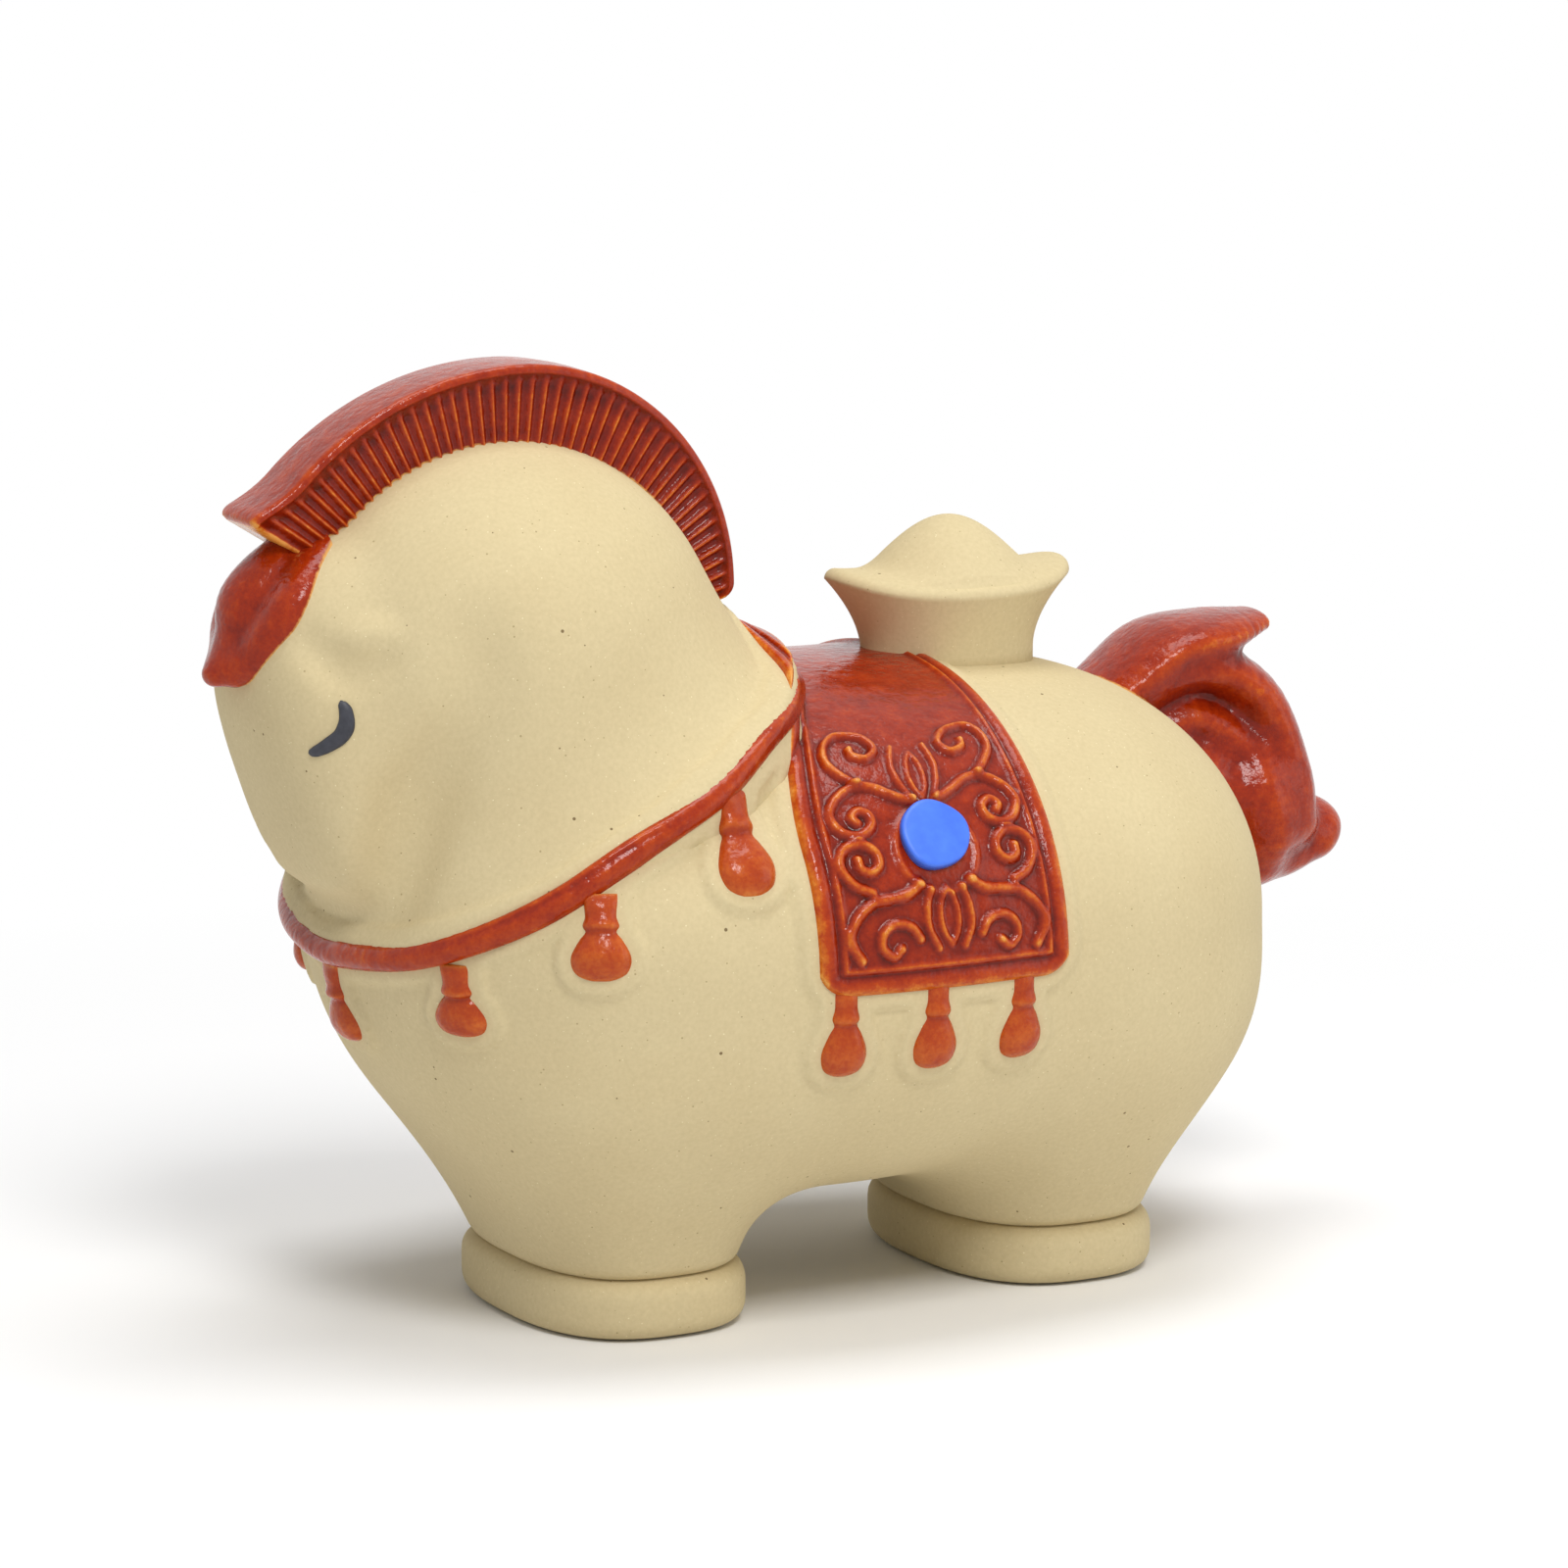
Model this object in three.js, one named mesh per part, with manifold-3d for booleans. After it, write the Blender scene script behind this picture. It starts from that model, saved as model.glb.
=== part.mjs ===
// Tea pet: a plump little horse of sandy clay with glazed mane, tail and trappings.
// Millimetres, +Z up. The nose points to -X and the tail to +X, so -Y is the horse's left side.
// The clay pieces are pressed or rolled on their own and luted together with slip before the
// firing, so every piece here is its own solid and lies one joint away from its neighbour.

import * as THREE from 'three';
import { LoftGeometry } from 'three/addons/geometries/LoftGeometry.js';
import { mergeVertices } from 'three/addons/utils/BufferGeometryUtils.js';
import Module from 'manifold-3d';

const wasm = await Module();
wasm.setup();

// Joints and walls
const JOINT = 0.3;
const WALL = 4.5;
const NECK_BORE = 17;
const NECK_BORE_DEPTH = 15.5;
const VENT_BORE = 8;

// Hooves: each pair of feet is one flat block
const HOOF_HEIGHT = 4.8;
const HOOF_LENGTH = 18.4;
const HOOF_WIDTH = 27.2;
const HOOF_EDGE = 1;
const HOOF_LIP = 0.8;
const HOOF_SQUARENESS = 2.6;
const FRONT_LEG_SETBACK = 19.9;
const REAR_LEG_SETBACK = 16.2;
const LEG_FLARE = 0.45;
const LEG_RISE = 17;
const FRONT_LEG_LEAN = -0.25;
const REAR_LEG_LEAN = 0.12;
const LEG_FILLET = 7;

// Barrel, chest and rump
const BELLY_HEIGHT = 8.5;
const BARREL_LENGTH = 72.4;
const BARREL_WIDTH = 52;
const BARREL_HEIGHT = 40.4;
const CHEST_LENGTH = 34.6;
const CHEST_WIDTH = 46;
const CHEST_HEIGHT = 26;
const CHEST_FORWARD = 2.2;
const CHEST_LIFT = 3.3;
const RUMP_LENGTH = 39.2;
const RUMP_WIDTH = 47;
const RUMP_HEIGHT = 37.2;
const RUMP_BACK = 1.5;
const BODY_BLEND = 6;
const BARREL_SQUARENESS = 2.15;
const CHEST_SQUARENESS = 2;
const RUMP_SQUARENESS = 2.1;

// Head and neck
const HEAD_LENGTH = 36.4;
const HEAD_WIDTH = 33.6;
const HEAD_SETBACK = 10.6;
const HEAD_LIFT = 1.4;
const NECK_LENGTH = 40.6;
const NECK_WIDTH = 41.2;
const NECK_HEIGHT = 14.4;
const NECK_TILT = 25;
const NECK_SETBACK = 15.6;
const NECK_DROP = 9.6;
const NECK_BLEND = 8;
const NECK_SQUARENESS = 2.2;
const FACE_LENGTH = 19.2;
const FACE_WIDTH = 20;
const FACE_HEIGHT = 24;
const FACE_TILT = 17;
const FACE_SQUARENESS = 2.5;
const FACE_FORWARD = 10.4;
const FACE_DROP = 4.7;
const BROW_LENGTH = 11;
const BROW_WIDTH = 16;
const BROW_HEIGHT = 14;
const BROW_FORWARD = 14.3;
const BROW_BLEND = 5;
const CHEEK_CREASE = 3;
const EAR_LENGTH = 4;
const EAR_WIDTH = 5.4;
const EAR_HEIGHT = 3.6;
const EAR_RISE = 16;
const EAR_SPREAD = 35;

// Eyes: raised crescents, closed in a smile
const EYE_RADIUS = 2.5;
const EYE_STROKE = 1.4;
const EYE_TIP = 0.45;
const EYE_RELIEF = 0.5;
const EYE_SPREAD = 50;
const EYE_DROP = 1;
const EYE_START = -105;
const EYE_END = 28;

// Mane: a ribbed crest that stands on the top of the head
const MANE_THICKNESS = 6.2;
const MANE_RISE = 5.6;
const MANE_FRONT_SWELL = 7.7;
const MANE_REAR_SWELL = -0.3;
const MANE_BACKSET = 1.55;
const MANE_START = 14;
const MANE_END = 145;
const MANE_RIBS = 45;
const MANE_RIB_DEPTH = 0.5;
const MANE_RIM = 1.6;
const MANE_EDGE = 0.7;

// Forelock: angles about the middle of the head, and how far the crown stands above the skin,
// as a share of the full rise
const FORELOCK_CROWN = [
	[149.5, 0.27], [154, 0.59], [159, 0.91], [166, 0.95], [172, 0.86], [176.5, 1], [179.5, 0.32],
];
const FORELOCK_RISE = 2.2;
const FORELOCK_WIDTH = 11;
const FORELOCK_TIP = 0.62;
const FORELOCK_GROOVE = 0.5;
const FORELOCK_LEAST = 0.5;

// Tail: rolled locks in the middle plane. A point of a lock is how far it lies behind the rump and
// above the rump's middle, and the roll's radius, all as shares of the tail's height. Each lock is
// that many times broader than deep
const TAIL_HEIGHT = 20;
const TAIL_LOCKS = [
	{
		breadth: 3,
		path: [
			[-0.66, 0.715, 0.075], [-0.41, 0.915, 0.085], [-0.21, 1, 0.09],
			[0.015, 1.01, 0.085], [0.28, 1.035, 0.05],
		],
	},
	{
		breadth: 2.1,
		path: [
			[-0.535, 0.665, 0.08], [-0.26, 0.885, 0.09], [-0.03, 0.9, 0.1],
			[0.22, 0.775, 0.125], [0.35, 0.44, 0.145], [0.37, 0.275, 0.145],
		],
	},
	{
		breadth: 1.9,
		path: [
			[-0.385, 0.615, 0.09], [-0.16, 0.73, 0.095], [0.08, 0.565, 0.125],
			[0.12, 0.415, 0.16], [0.155, 0.24, 0.17], [0.145, 0.11, 0.14],
		],
	},
	{ breadth: 2.2, path: [[0.06, 0.045, 0.085], [0.315, 0.06, 0.09], [0.455, 0.115, 0.09]] },
	{ breadth: 1.9, path: [[0.48, 0.175, 0.115], [0.525, 0.175, 0.1175]] },
];

// Gold ingot: a boat with raised ends and a dome
const INGOT_BASE_LENGTH = 14.4;
const INGOT_BASE_WIDTH = 10.4;
const INGOT_HEIGHT = 6.8;
const INGOT_SPAN = 20.8;
const INGOT_BEAM = 13;
const INGOT_RIM = 0.8;
const INGOT_SHEER = 2.2;
const INGOT_FLARE = 1.8;
const INGOT_TROUGH = 0.6;
const INGOT_DOME_LENGTH = 12;
const INGOT_DOME_WIDTH = 10.6;
const INGOT_DOME_RISE = 3.8;
const INGOT_BACKSET = 14.2;

// Saddle cloth with a gem on each side
const CLOTH_LENGTH = 21.3;
const CLOTH_SETBACK = 9.7;
const CLOTH_REACH = 91.2;
const CLOTH_SWEEP = 4.5;
const CLOTH_SWEEP_TOP = 22;
const CLOTH_SWEEP_FOOT = 66;
const CLOTH_THICKNESS = 0.9;
const CLOTH_BORDER = 1.5;
const CLOTH_BORDER_RELIEF = 0.5;
const CLOTH_BORDER_SLOPE = 0.3;
const CLOTH_CORNER = 2.5;
const GEM_DIAMETER = 5.8;
const GEM_RELIEF = 1.2;
const GEM_ANGLE = 68.3;

// The cloth's stamped scrolls, drawn on a grid about the middle of the gem: along the horse, and
// up its flank. These are the ones behind the gem, and their mirror images lie before it
const SCROLL_GRID = 20;
const SCROLL_WIDTH = 0.9;
const SCROLL_RELIEF = 0.5;
const SCROLLS = [
	[[0.9, 3.7], [2.4, 4.4], [5.1, 5.4], [7.1, 4], [6.8, 1.9], [4.6, 2.1], [5.3, 3.4]],
	[[5, 5.9], [6.9, 8], [6.1, 10.5], [3.7, 10], [3.1, 8.2], [4.7, 8.3]],
	[[2, -2.6], [4.6, -3.2], [6.9, -4.2], [7.6, -5.8], [6.8, -7.4]],
	[[2.4, -6.2], [3.1, -5.2], [4.6, -4.9], [5.4, -6], [4.3, -7.1]],
	[[5.8, -2.3], [7.4, -0.8], [6.8, 0.8], [5, 0.5], [5.2, -1]],
	[[0.9, 4.3], [1.6, 6], [1.3, 8.5]],
	[[1.2, -3.3], [1.8, -4.9], [1.1, -6.8]],
];

// Collar strap and tassels
const STRAP_WIDTH = 2.3;
const STRAP_RELIEF = 1.2;
const COLLAR_TASSELS = [0, 42, 74, 105];
const COLLAR_TASSEL_LENGTH = 7.4;
const COLLAR_TASSEL_WIDTH = 4.1;
const SADDLE_TASSEL_LENGTH = 6;
const SADDLE_TASSEL_WIDTH = 3.7;
const TASSEL_RELIEF = 1.3;
const SADDLE_TASSEL_SPACING = 7.6;
const SADDLE_TASSEL_FORWARD = 1;

// Materials
const clay = { color: 0xd9c896, roughness: 0.88, metalness: 0 };
const glaze = { color: 0x9e2a0c, roughness: 0.2, metalness: 0 };
const blueGlaze = { color: 0x3f6fdb, roughness: 0.4, metalness: 0 };
const blackSlip = { color: 0x3a3a40, roughness: 0.7, metalness: 0 };

const { degToRad, lerp, smoothstep } = THREE.MathUtils;
const vec = (x, y, z) => new THREE.Vector3(x, y, z);
const DOWN = vec(0, 0, -1);

// Places that follow from the sizes above
const footZ = HOOF_HEIGHT + JOINT;
const barrel = vec(0, 0, BELLY_HEIGHT + BARREL_HEIGHT / 2);
const backZ = BELLY_HEIGHT + BARREL_HEIGHT;
const barrelFront = barrel.x - BARREL_LENGTH / 2;
const barrelRear = barrel.x + BARREL_LENGTH / 2;
const rumpRear = barrelRear + RUMP_BACK;
const frontLegX = barrelFront + FRONT_LEG_SETBACK;
const rearLegX = barrelRear - REAR_LEG_SETBACK;
const archX = (frontLegX + rearLegX) / 2;
const chest = vec(barrelFront - CHEST_FORWARD + CHEST_LENGTH / 2, 0, barrel.z + CHEST_LIFT);
const rump = vec(rumpRear - RUMP_LENGTH / 2, 0, barrel.z);
const head = vec(barrelFront + HEAD_SETBACK, 0, backZ + HEAD_LIFT);
const neck = vec(barrelFront + NECK_SETBACK, 0, backZ - NECK_DROP);
const face = vec(head.x - FACE_FORWARD, 0, head.z - FACE_DROP);
const brow = vec(head.x - BROW_FORWARD, 0, head.z + FACE_DROP);

// Forms: functions of a point that are negative inside the clay, in about millimetres

function lump(centre, length, width, height, squareness = 2, tilt = 0) {
	const turn = degToRad(tilt);
	const cos = Math.cos(turn);
	const sin = Math.sin(turn);
	const half = [length / 2, width / 2, height / 2];
	return (p) => {
		const x = p.x - centre.x;
		const z = p.z - centre.z;
		const local = [cos * x + sin * z, p.y - centre.y, cos * z - sin * x];
		let sum = 0;
		let slope = 0;
		for (let i = 0; i < 3; i++) {
			const share = Math.abs(local[i]) / half[i];
			sum += share ** squareness;
			slope += (share ** (squareness - 1) / half[i]) ** 2;
		}
		const k = Math.max(sum, 1e-9) ** (1 / squareness);
		const steep = Math.sqrt(slope) / k ** (squareness - 1);
		return (k - 1) / Math.max(steep, 1e-3);
	};
}

// The lesser of two distances, with a fillet where they are close
function softer(a, b, radius) {
	const near = Math.max(radius - Math.abs(a - b), 0) / radius;
	return Math.min(a, b) - near * near * radius / 4;
}

function leg(x, lean) {
	const halfLength = HOOF_LENGTH / 2 - HOOF_LIP;
	const halfWidth = HOOF_WIDTH / 2 - HOOF_LIP;
	return (p) => {
		const rise = p.z - footZ;
		const swell = Math.max(1 + LEG_FLARE * rise / LEG_RISE, 0.5);
		const a = Math.abs(p.x - x - lean * rise) / (halfLength * swell);
		const b = Math.abs(p.y) / (halfWidth * swell);
		const k = Math.max(a ** HOOF_SQUARENESS + b ** HOOF_SQUARENESS, 1e-9) ** (1 / HOOF_SQUARENESS);
		const side = (k - 1) * Math.min(halfLength, halfWidth) * swell;
		return -softer(-side, LEG_RISE - rise, LEG_FILLET);
	};
}

function blend(first, second, radius) {
	return (p) => softer(first(p), second(p), radius);
}

const barrelLump = lump(barrel, BARREL_LENGTH, BARREL_WIDTH, BARREL_HEIGHT, BARREL_SQUARENESS);
const chestLump = lump(chest, CHEST_LENGTH, CHEST_WIDTH, CHEST_HEIGHT, CHEST_SQUARENESS);
const rumpLump = lump(rump, RUMP_LENGTH, RUMP_WIDTH, RUMP_HEIGHT, RUMP_SQUARENESS);
const trunkForm = blend(blend(barrelLump, chestLump, BODY_BLEND), rumpLump, BODY_BLEND);
const foreForm = blend(trunkForm, leg(frontLegX, FRONT_LEG_LEAN), LEG_FILLET);
const bodyForm = blend(foreForm, leg(rearLegX, REAR_LEG_LEAN), LEG_FILLET);

const skullLump = lump(head, HEAD_LENGTH, HEAD_WIDTH, HEAD_LENGTH);
const neckLump = lump(neck, NECK_LENGTH, NECK_WIDTH, NECK_HEIGHT, NECK_SQUARENESS, NECK_TILT);
const faceLump = lump(face, FACE_LENGTH, FACE_WIDTH, FACE_HEIGHT, FACE_SQUARENESS, FACE_TILT);
const browLump = lump(brow, BROW_LENGTH, BROW_WIDTH, BROW_HEIGHT);
const muzzleForm = blend(faceLump, browLump, BROW_BLEND);
const headForm = blend(blend(skullLump, neckLump, NECK_BLEND), muzzleForm, CHEEK_CREASE);

// Walks from a point until the form crosses the level, and returns where it does
function march(form, from, direction, level = 0) {
	const step = 0.6;
	const reach = 120;
	const p = from.clone();
	const inside = form(p) < level;
	let far = step;
	while (far < reach && (form(p.copy(from).addScaledVector(direction, far)) < level) === inside) {
		far += step;
	}
	let near = far - step;
	for (let i = 0; i < 24; i++) {
		const middle = (near + far) / 2;
		const same = (form(p.copy(from).addScaledVector(direction, middle)) < level) === inside;
		near = same ? middle : near;
		far = same ? far : middle;
	}
	return from.clone().addScaledVector(direction, near);
}

function normalAt(form, point) {
	const step = 0.05;
	const at = (x, y, z) => form(vec(point.x + x * step, point.y + y * step, point.z + z * step));
	return vec(
		at(1, 0, 0) - at(-1, 0, 0),
		at(0, 1, 0) - at(0, -1, 0),
		at(0, 0, 1) - at(0, 0, -1),
	).normalize();
}

// Solids

function solid(geometry) {
	const bare = new THREE.BufferGeometry();
	bare.setAttribute('position', geometry.getAttribute('position'));
	bare.setIndex(geometry.getIndex());
	const merged = mergeVertices(bare, 1e-4);
	const at = merged.getAttribute('position');
	const corners = [0, 1, 2].map(() => vec());
	const faces = [];
	let volume = 0;
	for (let i = 0; i < merged.index.count; i += 3) {
		const face = [0, 1, 2].map((k) => merged.index.getX(i + k));
		if (new Set(face).size < 3) continue;
		face.forEach((vertex, k) => corners[k].fromBufferAttribute(at, vertex));
		volume += corners[0].dot(corners[1].clone().cross(corners[2]));
		faces.push(face);
	}
	const facing = volume < 0 ? faces.map(([a, b, c]) => [a, c, b]) : faces;
	return new wasm.Manifold(new wasm.Mesh({
		numProp: 3,
		vertProperties: new Float32Array(at.array),
		triVerts: new Uint32Array(facing.flat()),
	}));
}

// What a cut leaves beyond the main piece is a crumb, which is trimmed away
function trim(shape) {
	return shape.decompose().reduce((most, piece) => (piece.volume() > most.volume() ? piece : most));
}

// Skins a solid through rings. Each end closes onto the middle of its ring, or onto its middle line
function loft(sections, ends = 'point') {
	const close = (ring) => {
		const centre = ring.reduce((sum, p) => sum.add(p), vec()).divideScalar(ring.length);
		const onLine = (p, i) => p.clone().add(ring[ring.length - 1 - i]).multiplyScalar(0.5);
		return ring.map((p, i) => (ends === 'line' ? onLine(p, i) : centre.clone()));
	};
	return solid(new LoftGeometry([close(sections[0]), ...sections, close(sections.at(-1))]));
}

// A ball whose points are pushed out, from its middle, onto the skin of a form
function castBall(form, middle, detail, level = 0) {
	const geometry = new THREE.IcosahedronGeometry(1, detail);
	const at = geometry.getAttribute('position');
	const skin = new Map();
	for (let i = 0; i < at.count; i++) {
		const direction = vec().fromBufferAttribute(at, i).normalize();
		const key = direction.toArray().map((n) => n.toFixed(5)).join();
		if (!skin.has(key)) skin.set(key, march(form, middle, direction, level));
		at.setXYZ(i, ...skin.get(key));
	}
	return solid(geometry);
}

// The body as a bent tube: rings fan round the belly arch from the rear foot to the front foot
function castBody(level) {
	const rings = 32;
	const points = 24;
	const arch = vec(archX, 0, footZ);
	const across = rearLegX - archX;
	const up = (BELLY_HEIGHT + backZ) / 2 - footZ;
	const sections = [];
	for (let i = 0; i <= rings; i++) {
		const bend = Math.PI * i / rings;
		const out = vec(Math.cos(bend), 0, Math.sin(bend));
		const middle = arch.clone().addScaledVector(out, 1 / Math.hypot(out.x / across, out.z / up));
		const ring = [];
		for (let j = 0; j < points; j++) {
			const round = 2 * Math.PI * j / points;
			const direction = out.clone().multiplyScalar(Math.cos(round)).add(vec(0, Math.sin(round), 0));
			ring.push(march(bodyForm, middle, direction, level));
		}
		sections.push(ring);
	}
	return loft(sections);
}

function rod(diameter, from, to, sides = 20) {
	const length = from.distanceTo(to);
	const geometry = new THREE.CylinderGeometry(diameter / 2, diameter / 2, length, sides);
	const along = to.clone().sub(from).normalize();
	geometry.applyQuaternion(new THREE.Quaternion().setFromUnitVectors(vec(0, 1, 0), along));
	const middle = from.clone().lerp(to, 0.5);
	geometry.translate(middle.x, middle.y, middle.z);
	return solid(geometry);
}

const bodySeat = castBody(JOINT);
const headSeat = castBall(headForm, head, 9, JOINT);

// The neck's axis runs square to the seam where the neck sits on the body
const neckAxis = vec(-Math.sin(degToRad(NECK_TILT)), 0, Math.cos(degToRad(NECK_TILT)));
const neckPassage = rod(NECK_BORE, neck.clone().addScaledVector(neckAxis, -NECK_BORE_DEPTH), head);

function bodyHalves() {
	const hollow = castBall(trunkForm, barrel, 5, -WALL);
	const vent = rod(VENT_BORE, vec(archX, 0, BELLY_HEIGHT - WALL), vec(archX, 0, barrel.z));
	const shell = castBody(0).subtract(hollow).subtract(vent).subtract(neckPassage);
	const size = 2 * BARREL_LENGTH;
	return [-1, 1].map((side) => {
		const half = new THREE.BoxGeometry(size, size, size);
		half.translate(0, side * (size + JOINT) / 2, 0);
		return shell.intersect(solid(half));
	});
}

function hoofPair(x) {
	const points = 28;
	const swell = (share) => Math.sign(share) * Math.abs(share) ** (2 / HOOF_SQUARENESS);
	const corners = Array.from({ length: points }, (_, i) => {
		const round = 2 * Math.PI * (i + 0.5) / points;
		const px = swell(Math.cos(round)) * (HOOF_LENGTH / 2 - HOOF_EDGE);
		const py = swell(Math.sin(round)) * (HOOF_WIDTH / 2 - HOOF_EDGE);
		return new THREE.Vector2(px, py);
	});
	const geometry = new THREE.ExtrudeGeometry(new THREE.Shape(corners), {
		depth: HOOF_HEIGHT - 2 * HOOF_EDGE,
		bevelSize: HOOF_EDGE,
		bevelThickness: HOOF_EDGE,
		bevelSegments: 3,
	});
	geometry.translate(x, 0, HOOF_EDGE);
	return solid(geometry);
}

function headAndNeck() {
	const hollow = castBall(skullLump, head, 3, -WALL);
	return trim(castBall(headForm, head, 9).subtract(bodySeat).subtract(hollow).subtract(neckPassage));
}

// Sticks a small ornament on a form: s runs down from the anchor, w sideways, h out of the skin
function drape(form, anchor, down = DOWN) {
	const hover = 8;
	const out = normalAt(form, anchor);
	const fall = down.clone().addScaledVector(out, -down.dot(out)).normalize();
	const side = fall.clone().cross(out);
	return (s, w, h) => {
		const above = anchor.clone().addScaledVector(fall, s).addScaledVector(side, w);
		above.addScaledVector(out, hover);
		const seat = march(form, above, out.clone().negate(), JOINT);
		return seat.addScaledVector(out, h);
	};
}

// A cushioned cross-section: flat under, rounded on top
function pad(place, s, halfWidth, height) {
	const crown = [[-0.9, 0.55], [-0.5, 0.92], [0, 1], [0.5, 0.92], [0.9, 0.55]];
	const profile = [[-1, 0], ...crown, [1, 0], [0, 0]];
	return profile.map(([w, h]) => place(s, w * halfWidth, h * height));
}

function eye(side) {
	const angle = degToRad(EYE_SPREAD);
	const out = vec(-Math.cos(angle), side * Math.sin(angle), 0);
	const anchor = march(headForm, vec(face.x, 0, head.z - EYE_DROP), out);
	const place = drape(headForm, anchor);
	const sections = [];
	const steps = 9;
	for (let i = 0; i <= steps; i++) {
		const along = i / steps;
		const round = degToRad(lerp(EYE_START, EYE_END, along));
		const half = EYE_STROKE / 2 * lerp(EYE_TIP, 1, Math.sin(Math.PI * along));
		const ring = [[-half, 0], [-0.6 * half, EYE_RELIEF], [0.6 * half, EYE_RELIEF], [half, 0]];
		sections.push(ring.map(([w, h]) => {
			const radius = EYE_RADIUS + w;
			return place(-radius * Math.sin(round), -side * radius * Math.cos(round), h);
		}));
	}
	return loft(sections);
}

function ear(side) {
	const rise = degToRad(EAR_RISE);
	const spread = degToRad(EAR_SPREAD);
	const level = Math.cos(rise);
	const out = vec(-level * Math.cos(spread), side * level * Math.sin(spread), Math.sin(rise));
	const root = march(headForm, head, out);
	const nub = new THREE.SphereGeometry(0.5, 14, 10);
	nub.scale(EAR_LENGTH, EAR_WIDTH, EAR_HEIGHT);
	nub.rotateZ(-side * spread);
	nub.translate(root.x, root.y, root.z);
	return trim(solid(nub).subtract(headSeat));
}

// A crest that stands on a form: rings at angles about a middle, each from the skin to the crown
function crest(form, middle, angles, ends, ringAt) {
	const sections = angles.map((angle) => {
		const turn = degToRad(angle);
		const out = vec(Math.cos(turn), 0, Math.sin(turn));
		const skin = (y) => march(form, vec(middle.x, y, middle.z), out, JOINT);
		const crown = (y, radius) => vec(middle.x, y, middle.z).addScaledVector(out, radius);
		return ringAt(angle, skin, crown);
	});
	return loft(sections, ends);
}

// How far the mane's outer edge lies from the middle of the head, front arc and rear arc
function maneEdge(angle) {
	const turn = degToRad(angle);
	const edge = (swell) => {
		const radius = HEAD_LENGTH / 2 + swell;
		const x = MANE_BACKSET;
		const z = MANE_RISE - swell;
		const along = x * Math.cos(turn) + z * Math.sin(turn);
		return along + Math.sqrt(along * along + radius * radius - x * x - z * z);
	};
	const rear = edge(MANE_REAR_SWELL);
	return rear * Math.cos(turn) > MANE_BACKSET ? rear : edge(MANE_FRONT_SWELL);
}

function mane() {
	const steps = 2 * MANE_RIBS;
	const angles = Array.from({ length: steps + 1 }, (_, i) => lerp(MANE_START, MANE_END, i / steps));
	const half = MANE_THICKNESS / 2;
	return crest(headForm, head, angles, 'point', (angle, skin, crown) => {
		const edge = maneEdge(angle);
		const valley = angles.indexOf(angle) % 2;
		const rib = half - (valley ? MANE_RIB_DEPTH : 0);
		const side = (y) => [
			crown(y * (half - MANE_EDGE), edge),
			crown(y * half, edge - MANE_EDGE),
			crown(y * rib, edge - MANE_RIM),
			skin(y * rib),
		];
		return [...side(-1), skin(0), ...side(1).reverse()];
	});
}

// A glazed lobed crest with lengthwise grooves
function forelock() {
	const stations = 14;
	const across = [-1, -0.8, -0.45, -0.2, 0, 0.2, 0.45, 0.8, 1];
	const grooved = [0.2, 0.8];
	const knots = FORELOCK_CROWN.map(([angle, share]) => new THREE.Vector2(angle, share * FORELOCK_RISE));
	const points = new THREE.SplineCurve(knots).getPoints(stations);
	return crest(headForm, head, points.map((p) => p.x), 'line', (angle, skin, crown) => {
		const station = points.findIndex((p) => p.x === angle);
		const along = station / stations;
		const taper = lerp(1, FORELOCK_TIP, along ** 3) * (0.8 + 0.2 * Math.sin(Math.PI * along));
		const half = FORELOCK_WIDTH / 2 * taper;
		const ridgeline = skin(0).distanceTo(head) + points[station].y;
		const top = across.map((w) => {
			const seat = skin(w * half);
			const low = Math.hypot(seat.x - head.x, seat.z - head.z);
			const groove = grooved.includes(Math.abs(w)) ? FORELOCK_GROOVE : 0;
			const swell = Math.sqrt(1 - 0.85 * w * w);
			return crown(w * half, low + Math.max((ridgeline - low) * swell - groove, FORELOCK_LEAST));
		});
		const under = across.map((w) => skin(0.96 * w * half)).reverse();
		return [...top, ...under];
	});
}

// A rolled lock: rings of an oval across a path in the middle plane, rounded off at both ends
function roll(path, breadth) {
	const points = 12;
	const gaps = path.length - 1;
	const stations = 3 * gaps;
	const knots = path.map(([x, z]) => vec(rumpRear + x * TAIL_HEIGHT, 0, barrel.z + z * TAIL_HEIGHT));
	const curve = new THREE.CatmullRomCurve3(knots);
	const ring = (station, rounding) => {
		const along = station / stations;
		const tangent = curve.getTangent(along);
		const knot = Math.min(Math.floor(along * gaps), gaps - 1);
		const radius = lerp(path[knot][2], path[knot + 1][2], along * gaps - knot) * TAIL_HEIGHT;
		const at = curve.getPoint(along).addScaledVector(tangent, radius * Math.sin(degToRad(rounding)));
		const narrow = radius * Math.cos(degToRad(rounding));
		return Array.from({ length: points }, (_, j) => {
			const round = 2 * Math.PI * j / points;
			const out = vec(-tangent.z, 0, tangent.x).multiplyScalar(narrow * Math.cos(round));
			return at.clone().add(out).add(vec(0, breadth * narrow * Math.sin(round), 0));
		});
	};
	const sections = [ring(0, -60), ring(0, -30)];
	for (let i = 0; i <= stations; i++) sections.push(ring(i, 0));
	sections.push(ring(stations, 30), ring(stations, 60));
	return loft(sections);
}

function tail() {
	const rolls = TAIL_LOCKS.map(({ breadth, path }) => roll(path, breadth));
	return trim(wasm.Manifold.union(rolls).subtract(bodySeat));
}

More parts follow.
